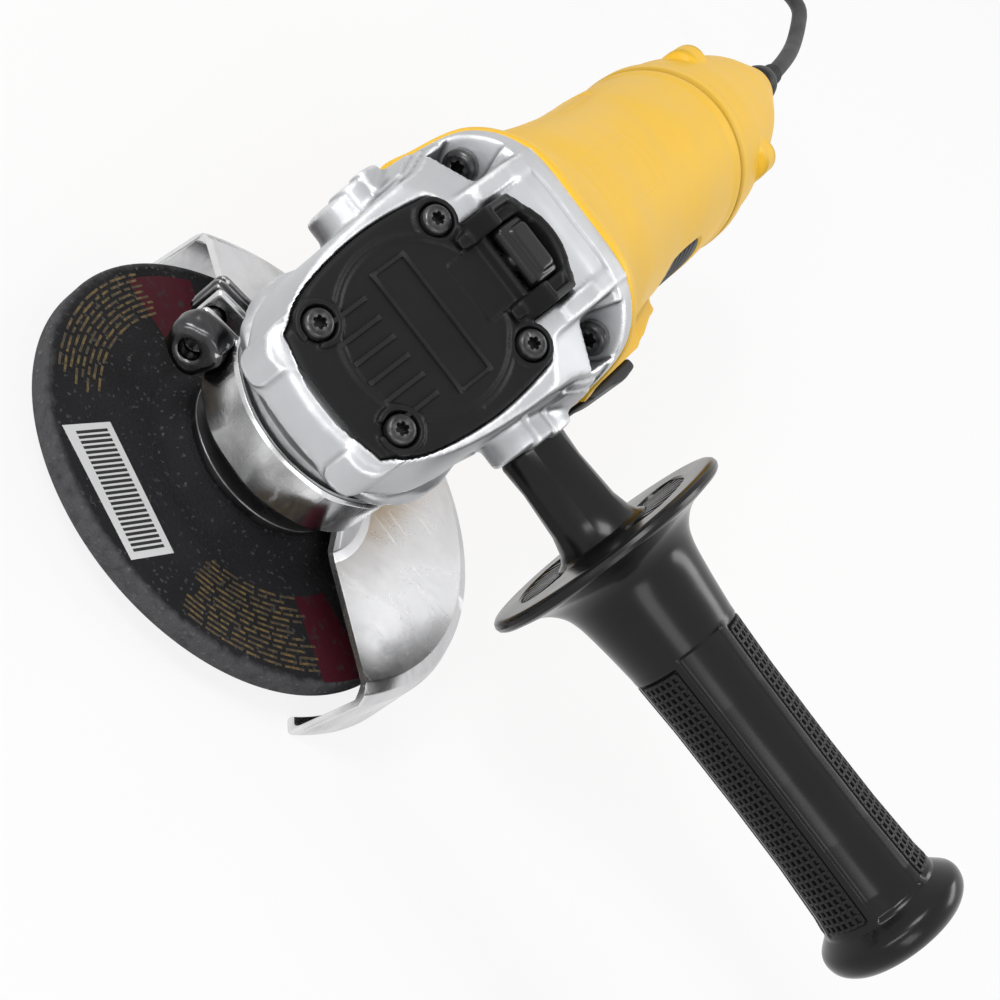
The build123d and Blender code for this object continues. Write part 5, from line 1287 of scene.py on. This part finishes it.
def build_housing():
    """Yellow motor housing: flared front, switch pad, recessed side panels, a raised frame and a rear band."""
    front, end = [BARREL_FRONT, -38.4, -39.2, -40.2], [-174.4, -175.3, BARREL_END]
    x = np.concatenate([front, np.arange(-41.5, -174.0, -1.3), end])
    edge = np.interp(x, [BARREL_END, -175.0, -39.2, -38.4, BARREL_FRONT], [0.7, 0.0, 0.0, 0.25, 0.9])
    r = front_radius(x[::-1])[::-1] - edge[:, None]
    along = np.broadcast_to(x[:, None], r.shape)
    y, z = r * np.cos(THETA), r * np.sin(THETA)
    r = r - 1.15 * eased((7.3 - inset_lobe(along, z)) / 1.1)
    lines = np.zeros_like(r)
    for low, high, half in ((-112.0, -66.0, 8.5), (-106.0, -72.0, 5.6)):
        inside = np.minimum(np.minimum(along - low, high - along), half - np.abs(y + 2.0))
        lines += np.where(z > 0, np.exp(-(inside / 0.55) ** 2), 0.0)
    r = r - 0.22 * np.clip(lines, 0, 1)
    inner = ((BARREL_END, BARREL_BORE), (-120.0, BARREL_BORE), (-119.0, 24.6), (-64.0, 24.6), (-62.0, 27.0),
             (BARREL_FRONT, 27.5))
    rings = [ring_at(*row) for row in zip(x, r)] + [inner_ring(*row) for row in inner]
    settle(hollow("housing_barrel", rings, "yellow", 38.0), "body", ("motor_housing",))


def build_tail():
    """Yellow tail that closes the housing, with its ridge, screw bumps and the cord's mouth."""
    stations = np.array(TAIL_STATIONS)
    x = np.concatenate([[TAIL_FRONT, -176.6], np.arange(-177.6, -250.0, -1.0), [-250.4, -251.2, TAIL_END]])
    radius, rise = through(stations[::-1, 0], stations[::-1, 1:], x[::-1])[::-1].T
    ridge = np.where(x > -186.0, 28.6 - np.clip(np.abs(x + 179.6) - 3.4, 0, 9) * 0.75, 0.0)
    r = soft_max(*np.broadcast_arrays(radius[:, None], ridge[:, None] + 0 * THETA), 1.2)
    along = np.clip(np.abs(x + 204.0) - 3.6, 0, None)
    size = np.sqrt(np.clip(5.7**2 - (along * 3.4) ** 2, 0, None))[:, None]
    for sign in (-1, 1):
        centre = np.array([sign * REAR_SCREW[0], REAR_SCREW[1]])
        distance = np.hypot(*centre)
        delta = np.mod(THETA - math.atan2(centre[1], centre[0]) + math.pi, 2 * math.pi) - math.pi
        under = size**2 - (distance * np.sin(delta)) ** 2
        bump = distance * np.cos(delta) + np.sqrt(np.clip(under, 0, None))
        r = soft_max(r, np.where((under > 0) & (np.cos(delta) > 0), bump, 0.0), 2.4)
    r = r - np.interp(x, [TAIL_END, -250.4, -177.6, -176.6, TAIL_FRONT], [1.1, 0.0, 0.0, 0.3, 0.9])[:, None]
    inner = ((TAIL_END, 4.35, CORD_MOUTH, 0.0), (-247.0, 4.35, CORD_MOUTH, 0.0), (-246.0, 4.35, CORD_MOUTH, 0.0),
             (-236.0, 12.0, 7.0, 0.0), (-222.0, 16.0, 2.0, 0.0), (-199.0, 21.5, 0.0, 0.0),
             (-198.4, 21.6, 0.0, 26.5), (TAIL_FRONT, 24.8, 0.0, 26.5))
    rings = [ring_at(*row) for row in zip(x, r, rise)] + [inner_ring(*row) for row in inner]
    settle(hollow("housing_tail", rings, "yellow", 38.0), "body", ("rear_cover",))


def build_side_panels():
    """The two long insets on the barrel's flanks: ribbed and black on the handle's side, plain yellow opposite."""
    f = Field((-147.0, 21.0, -1.0), (-111.0, 30.0, 16.0), 0.4)
    barrel = np.hypot(f.y, f.z)
    plain = both(inset_lobe(f.x, f.z) - 6.3, slab(barrel, 26.6, 28.15), 0.7)
    ribbed = plain
    for n in range(5):
        ribbed = less(ribbed, np.hypot(f.x + 137.0 - 4.0 * n, barrel - 28.5) - 0.7, 0.5)
    settle(f.piece("side_inset_black", ribbed, "grip"), "body", ("side_panels",))
    points, faces = f.nets(plain)
    opposite = wrap("side_inset_yellow", points * (1, -1, 1), faces[:, ::-1], "yellow", None)
    settle(opposite, "body")


def build_slider():
    """Slide switch button with thumb ridges."""
    f = Field((-76.6, 34.6, -8.6), (-43.4, 41.0, 8.6), 0.35)
    cap = brick(f, (-75.0, -45.0), (35.7, 39.6), (-7.5, 7.5), 1.2)
    top = np.interp(f.x, [-76.0, -74.0, -67.0, -59.0, -47.0, -45.0], [38.4, 38.8, 39.6, 38.2, 37.5, 36.6])
    cap = both(cap, (f.y - top) * 0.97, 0.8)
    for n in range(5):
        cap = less(cap, np.hypot(f.x + 72.2 - 1.7 * n, f.y - 39.75) - 0.55, 0.4)
    settle(f.piece("slide_button", cap, "cover"), "switch", ("switch_slider",))


# ---- side handle ----

GRIP_FROM, GRIP_TO = 95.0, 169.6
SMOOTH_PANELS = (44.0, 224.0)
DIMPLED_PANELS = (-16.0, 104.0, 164.0, 284.0)
RIB_PITCH, RIB_WIDTH = 2.05, 0.86
GUARD_FACE = 63.0  # how far out the hand guard's face stands
WINDOWS, WINDOW_R = (-75.0, 105.0), 18.2


def handle_profile():
    """Points (r, y) from the neck's end round the hand guard and along the grip to the far end's middle."""
    neck = [(0.0, 35.7), (7.9, 35.7), (8.3, 36.0), (8.5, 36.8), (8.8, 44.0), (9.3, 56.0), (9.9, 60.2), (11.0, 62.2),
            (12.6, GUARD_FACE)]
    face = [(r, GUARD_FACE) for r in np.arange(13.2, 30.4, 0.5)]
    rim = [(31.2, 63.15), (31.9, 63.7), (32.2, 64.6), (31.9, 65.5), (31.2, 66.05), (29.8, 66.4)]
    back = bend([(29.8, 66.4), (23.0, 68.4), (19.0, 71.6), (16.9, 76.0), (15.6, 84.0), (14.6, 93.0)], 9)
    grip = [(grip_radius(y), y) for y in np.arange(93.4, 170.6, 0.4)]
    end = bend([(15.5, 170.8), (17.4, 172.4), (18.9, 174.0), (19.3, 176.0), (18.6, 178.4), (16.6, 180.4),
                (14.2, 181.3)], 6)
    cup = [(13.0, 181.5), (11.2, 181.4), (10.4, 180.6), (10.0, 179.0), (6.0, 178.6), (0.0, 178.5)]
    return neck + face + rim + list(map(tuple, back[1:])) + grip + list(map(tuple, end)) + cup


def off_centre(theta, centre):
    """Angle in degrees from a centre line, from -180 to 180."""
    return np.mod(np.degrees(theta) - centre + 180.0, 360.0) - 180.0


def panel_share(y, theta, centres, half, low, high):
    """How far each point lies in a set of long panels round the grip."""
    share = np.zeros(np.broadcast(y, theta).shape)
    for centre in centres:
        across = eased((half - np.abs(off_centre(theta, centre))) / 2.0 + 0.5)
        share = np.maximum(share, across * eased((y - low) / 0.8) * eased((high - y) / 1.0))
    return share


def window_share(r, theta):
    """How far a point of the hand guard's face lies in one of its two windows."""
    share = np.zeros(np.broadcast(r, theta).shape)
    for centre in WINDOWS:
        along = np.clip(np.abs(np.radians(off_centre(theta, centre))) - 0.62, 0, None) * r
        distance = np.hypot(r - WINDOW_R, along) - 5.3
        share = np.maximum(share, eased(-distance / 0.8 + 0.5))
    return share


def round_handle(radius, angle):
    """x and z of a point at an angle round the handle's axis."""
    return HANDLE_X + radius * np.cos(angle), HANDLE_Z + radius * np.sin(angle)


def build_handle():
    """Side handle: faceted neck, hand guard with windows, recessed panels, rolled end."""
    columns = 240
    theta = np.linspace(0, 2 * math.pi, columns, endpoint=False)
    facets = np.abs(np.mod(theta * 6 / math.pi, 2.0) - 1.0)
    flat = 1 - np.cos(math.pi / 6) / np.maximum(np.cos(math.pi / 6 - facets * math.pi / 6), 0.8)
    rings = []
    for r, y in handle_profile()[1:-1]:
        radius, height = np.full(columns, r), np.full(columns, y)
        if y < 60.5:
            radius = radius * (1 - eased((y - 38.0) / 2.0) * eased((59.5 - y) / 6.0) * 0.55 * flat)
        if y == GUARD_FACE:
            height = height + 2.7 * window_share(radius, theta)
        if 93.0 < y < 171.0:
            smooth = panel_share(height, theta, SMOOTH_PANELS, 26.4, 93.8, 170.4)
            dimpled = panel_share(height, theta, DIMPLED_PANELS, 26.0, 95.2, 169.8)
            radius = radius - 0.75 * smooth - 0.62 * dimpled
        x, z = round_handle(radius, theta)
        rings.append(np.column_stack([x, height, z]))
    settle(skin("handle_moulding", rings, "handle", 32.0), "body", ("side_handle",))
    settle(build_grip_ribs(), "body")
    settle(build_guard_slats(), "body")


def grip_radius(y):
    """The grip's radius at a height."""
    return float(np.interp(y, [93.4, 110, 132, 150, 165, 171], [14.55, 13.95, 13.8, 14.0, 14.7, 15.5]))


def build_grip_ribs():
    """Crossing ribs that leave rows of small square dimples in the four textured panels."""
    places = []
    rows = np.arange(GRIP_FROM + 1.6, GRIP_TO - 1.0, RIB_PITCH)
    turns = np.linspace(-23.5, 23.5, 7)
    half = math.radians(turns[1] - turns[0]) / 2

    def put(radius, y, angle, lean, size):
        x, z = round_handle(radius, angle)
        places.append(((x, y, z), outward_turn(angle, lean), size))

    for centre in DIMPLED_PANELS:
        for turn in turns:
            for low, high in zip(rows[:-1], rows[1:]):
                y = (low + high) / 2
                lean = math.atan2(grip_radius(high) - grip_radius(low), RIB_PITCH)
                put(grip_radius(y) - 0.4, y, math.radians(centre + turn), lean, (RIB_WIDTH, RIB_PITCH + 0.06, 0.9))
        for y in rows:
            radius = (grip_radius(y) - 0.42) * math.cos(half) + 0.02
            for a, b in zip(turns[:-1], turns[1:]):
                size = (2 * radius * math.tan(half), RIB_WIDTH, 0.9)
                put(radius, y, math.radians(centre + (a + b) / 2), 0.0, size)
    return repeated("grip_ribs", pillow(0.8), places, "grip")


def outward_turn(angle, lean):
    """Turn that points a pad's Z outwards from the handle's axis and its Y along the handle."""
    out = Vector((math.cos(angle), 0.0, math.sin(angle)))
    along = Vector((0.0, 1.0, 0.0))
    across = along.cross(out)
    basis = Matrix((across, along, out)).transposed() @ Matrix.Rotation(lean, 3, "X")
    return tuple(basis.to_euler())


def build_guard_slats():
    """Radial slats across the hand guard's two windows."""
    places = []
    for centre, turn in itertools.product(WINDOWS, np.linspace(-36.0, 36.0, 9)):
        angle = math.radians(centre + turn)
        inside = math.cos(min(abs(math.radians(turn)) / 0.9, 1.0) * 0.9)
        x, z = round_handle(WINDOW_R, angle)
        places.append(((x, GUARD_FACE + 1.5, z), slat_turn(angle), (11.4 * (0.72 + 0.28 * inside), 1.05, 2.6)))
    return repeated("guard_slats", pillow(0.8), places, "handle")


def slat_turn(angle):
    """Turn that lays a pad's X outwards across the hand guard, with its Z towards the case."""
    out = Vector((math.cos(angle), 0.0, math.sin(angle)))
    up = Vector((0.0, -1.0, 0.0))
    side = up.cross(out)
    return tuple(Matrix((out, side, up)).transposed().to_euler())


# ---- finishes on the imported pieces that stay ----

FINISHES = {
    "steel": (
        "spindle", "armature_shaft", "lock_pin", "handle_stud", "lower_bearing", "bearing_retainer", "front_bearing",
        "rear_bearing", "lock_spring", "brush_springs",
    ),
    "gear": ("bevel_gear", "pinion", "clamp_nut"),
    "laminated": ("armature_core", "stator_core"),
    "copper": ("armature_windings", "stator_windings", "commutator"),
    "brass": ("brush_holders", "plug_blades", "top_bush"),
    "carbon": ("brushes",),
    "grip": ("fan", "fan_baffle", "switch_module", "switch_link"),
}


def finish_nodes():
    """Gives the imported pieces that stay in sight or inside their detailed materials."""
    for key, names in FINISHES.items():
        for name in names:
            for material_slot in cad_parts[name].material_slots:
                material_slot.material = MATERIALS[key]


# ---- stage, lamps and camera ----


def build_stage():
    """White floor and backdrop, lamps and the world."""
    mesh = bpy.data.meshes.new("floor")
    half = 6.0
    corners = [(x, y, FLOOR_Z) for x, y in ((-half, -half), (half, -half), (half, half), (-half, half))]
    mesh.from_pydata(corners, [], [(0, 1, 2, 3)])
    mesh.materials.append(stage_material())
    linked("floor", mesh)
    bpy.context.scene.world = world = bpy.data.worlds.new("studio")
    world.use_nodes = True
    tree = world.node_tree
    background = tree.nodes["Background"].inputs
    background["Strength"].default_value = 1.0
    feed(tree, background["Color"], blend_colour(tree, seen_directly(tree), (0.34, 0.34, 0.345), grey(1.0)))
    for name, place, aim, energy, width, height in LAMPS:
        lamp = bpy.data.lights.new(name, "AREA")
        lamp.shape = "RECTANGLE"
        lamp.size, lamp.size_y, lamp.energy = width, height, energy
        stand_at = linked(name, lamp)
        stand_at.location = place
        stand_at.rotation_euler = (Vector(aim) - Vector(place)).to_track_quat("-Z", "Y").to_euler()


# name, place and aim in metres, energy, width and height
LAMPS = (
    ("key_lamp", (0.55, -0.75, 1.0), (-0.02, 0.0, 0.05), 8.5, 0.5, 0.5),
    ("fill_lamp", (0.9, 0.7, 0.6), (-0.02, 0.02, 0.04), 3.0, 0.7, 0.4),
    ("rim_lamp", (-0.7, 0.5, 0.9), (-0.1, 0.0, 0.05), 5.0, 0.8, 0.3),
    ("front_lamp", (0.9, -0.25, 0.35), (0.0, 0.0, 0.03), 2.4, 0.15, 0.6),
)


def seen_directly(tree):
    """1 on rays that show the backdrop, straight, mirrored or through glass; 0 on those that light the tool."""
    path = add(tree, "ShaderNodeLightPath").outputs
    mirrored = math_node(tree, "ADD", path["Is Glossy Ray"], path["Is Transmission Ray"])
    return math_node(tree, "ADD", path["Is Camera Ray"], mirrored, clamp=True)


def stage_material():
    """A floor seen as nearly plain white, with its real shading kept for light that bounces."""
    material, tree = start_material("floor_white", grey(0.82), 0.9)
    glow = add(tree, "ShaderNodeEmission", {"Color": grey(1.0)}).outputs[0]
    share = math_node(tree, "MULTIPLY", seen_directly(tree), 0.86)
    mix = add(tree, "ShaderNodeMixShader", {0: share, 1: tree.nodes["Principled BSDF"].outputs[0], 2: glow})
    feed(tree, tree.nodes["Material Output"].inputs["Surface"], mix.outputs[0])
    return material


CAMERA_RIGHT = Vector((-0.37603423, 0.60974278, 0.69771915))
CAMERA_DOWN = Vector((0.36480724, 0.78959104, -0.49341834))
CAMERA_AHEAD = Vector((-0.85177106, 0.06899081, -0.51935184))
AXES_SEEN_AT = (-0.02282293633, -0.03323715835, 0.47852712698)  # right, down and ahead of the camera, in metres
LENS = 77.526  # on a sensor 36 wide


def build_camera():
    """The camera, above the tool and in front of its nose, with the side handle down to the right."""
    right, down, ahead = CAMERA_RIGHT, CAMERA_DOWN, CAMERA_AHEAD
    x, y, z = AXES_SEEN_AT
    place = -(right * x + down * y + ahead * z) + Vector((0, 0, AXES_HEIGHT * MM))
    data = bpy.data.cameras.new("camera")
    data.sensor_width, data.lens, data.clip_start = 36.0, LENS, 0.01
    bpy.context.scene.camera = camera = linked("camera", data)
    camera.matrix_world = Matrix.Translation(place) @ Matrix((right, -down, -ahead)).transposed().to_4x4()


# ---- add-on ----


class GrinderColours(bpy.types.PropertyGroup):
    """Colours a user may change before the pieces are made."""

    housing: bpy.props.FloatVectorProperty(
        name="Housing", description="Colour of the motor housing and tail", subtype="COLOR",
        default=(0.905, 0.539, 0.034), min=0.0, max=1.0)
    moulding: bpy.props.FloatVectorProperty(
        name="Moulding", description="Colour of the cover, button and handle", subtype="COLOR",
        default=(0.012, 0.012, 0.013), min=0.0, max=1.0)
    casting: bpy.props.FloatVectorProperty(
        name="Casting", description="Colour of the die-cast gear case", subtype="COLOR",
        default=(0.62, 0.63, 0.65), min=0.0, max=1.0)


class GRINDER_OT_cord(bpy.types.Operator):
    """Makes the strain relief, the coiled cord and its plug"""

    bl_idname = "grinder.cord"
    bl_label = "Cord and plug"

    def execute(self, context):
        build_cord()
        return {"FINISHED"}


class GRINDER_OT_wheel(bpy.types.Operator):
    """Makes the grinding wheel, its printed marks and its flange"""

    bl_idname = "grinder.wheel"
    bl_label = "Wheel"

    def execute(self, context):
        build_wheel()
        build_flange()
        return {"FINISHED"}


class GRINDER_OT_guard(bpy.types.Operator):
    """Makes the wheel guard with its clamp band, ears, bolt and nut plate"""

    bl_idname = "grinder.guard"
    bl_label = "Guard and clamp"

    def execute(self, context):
        build_guard()
        build_band()
        build_ears()
        return {"FINISHED"}


class GRINDER_OT_case(bpy.types.Operator):
    """Makes the two castings of the gear case"""

    bl_idname = "grinder.case"
    bl_label = "Gear case"

    def execute(self, context):
        build_case()
        build_bearing_box()
        return {"FINISHED"}


class GRINDER_OT_cover(bpy.types.Operator):
    """Makes the slanted cover with its bars and the lock button"""

    bl_idname = "grinder.cover"
    bl_label = "Cover and lock button"

    def execute(self, context):
        build_cover()
        build_cover_bars()
        build_button()
        return {"FINISHED"}


class GRINDER_OT_screws(bpy.types.Operator):
    """Makes all the lobed screws"""

    bl_idname = "grinder.screws"
    bl_label = "Screws"

    def execute(self, context):
        build_screws()
        return {"FINISHED"}


class GRINDER_OT_housing(bpy.types.Operator):
    """Makes the motor housing, its insets, its tail and the slide button"""

    bl_idname = "grinder.housing"
    bl_label = "Motor housing"

    def execute(self, context):
        build_housing()
        build_tail()
        build_side_panels()
        build_slider()
        return {"FINISHED"}


class GRINDER_OT_handle(bpy.types.Operator):
    """Makes the side handle with its textured panels and slats"""

    bl_idname = "grinder.handle"
    bl_label = "Side handle"

    def execute(self, context):
        build_handle()
        return {"FINISHED"}


class GRINDER_OT_finishes(bpy.types.Operator):
    """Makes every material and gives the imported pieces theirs"""

    bl_idname = "grinder.finishes"
    bl_label = "Finishes"

    def execute(self, context):
        make_materials()
        finish_nodes()
        return {"FINISHED"}


class GRINDER_OT_stage(bpy.types.Operator):
    """Makes the camera, the lamps, the floor and the world"""

    bl_idname = "grinder.stage"
    bl_label = "Stage"

    def execute(self, context):
        build_camera()
        build_stage()
        return {"FINISHED"}


OPERATORS = (
    GRINDER_OT_finishes, GRINDER_OT_stage, GRINDER_OT_cord, GRINDER_OT_wheel, GRINDER_OT_guard, GRINDER_OT_case,
    GRINDER_OT_cover, GRINDER_OT_screws, GRINDER_OT_housing, GRINDER_OT_handle,
)


class GRINDER_PT_panel(bpy.types.Panel):
    """Lists the makers in the sidebar"""

    bl_label = "Angle grinder"
    bl_idname = "GRINDER_PT_panel"
    bl_space_type = "VIEW_3D"
    bl_region_type = "UI"
    bl_category = "Grinder"

    def draw(self, context):
        """Draws the colours and one button for each group of pieces."""
        colours = context.scene.grinder_colours
        for field in ("housing", "moulding", "casting"):
            self.layout.prop(colours, field)
        for maker in OPERATORS:
            self.layout.operator(maker.bl_idname)


CLASSES = (GrinderColours, *OPERATORS, GRINDER_PT_panel)


def register():
    """Registers the classes and the scene's colours."""
    for item in CLASSES:
        bpy.utils.register_class(item)
    bpy.types.Scene.grinder_colours = bpy.props.PointerProperty(type=GrinderColours)


def unregister():
    """Takes everything away again."""
    del bpy.types.Scene.grinder_colours
    for item in reversed(CLASSES):
        bpy.utils.unregister_class(item)


def main():
    """Makes everything in order."""
    bpy.context.scene.view_settings.view_transform = "Standard"
    register()
    for maker in OPERATORS:
        group, name = maker.bl_idname.split(".")
        if getattr(getattr(bpy.ops, group), name)() != {"FINISHED"}:
            raise RuntimeError(maker.bl_label + " wasn't made")
    bpy.context.view_layer.update()


if __name__ == "__main__":
    main()
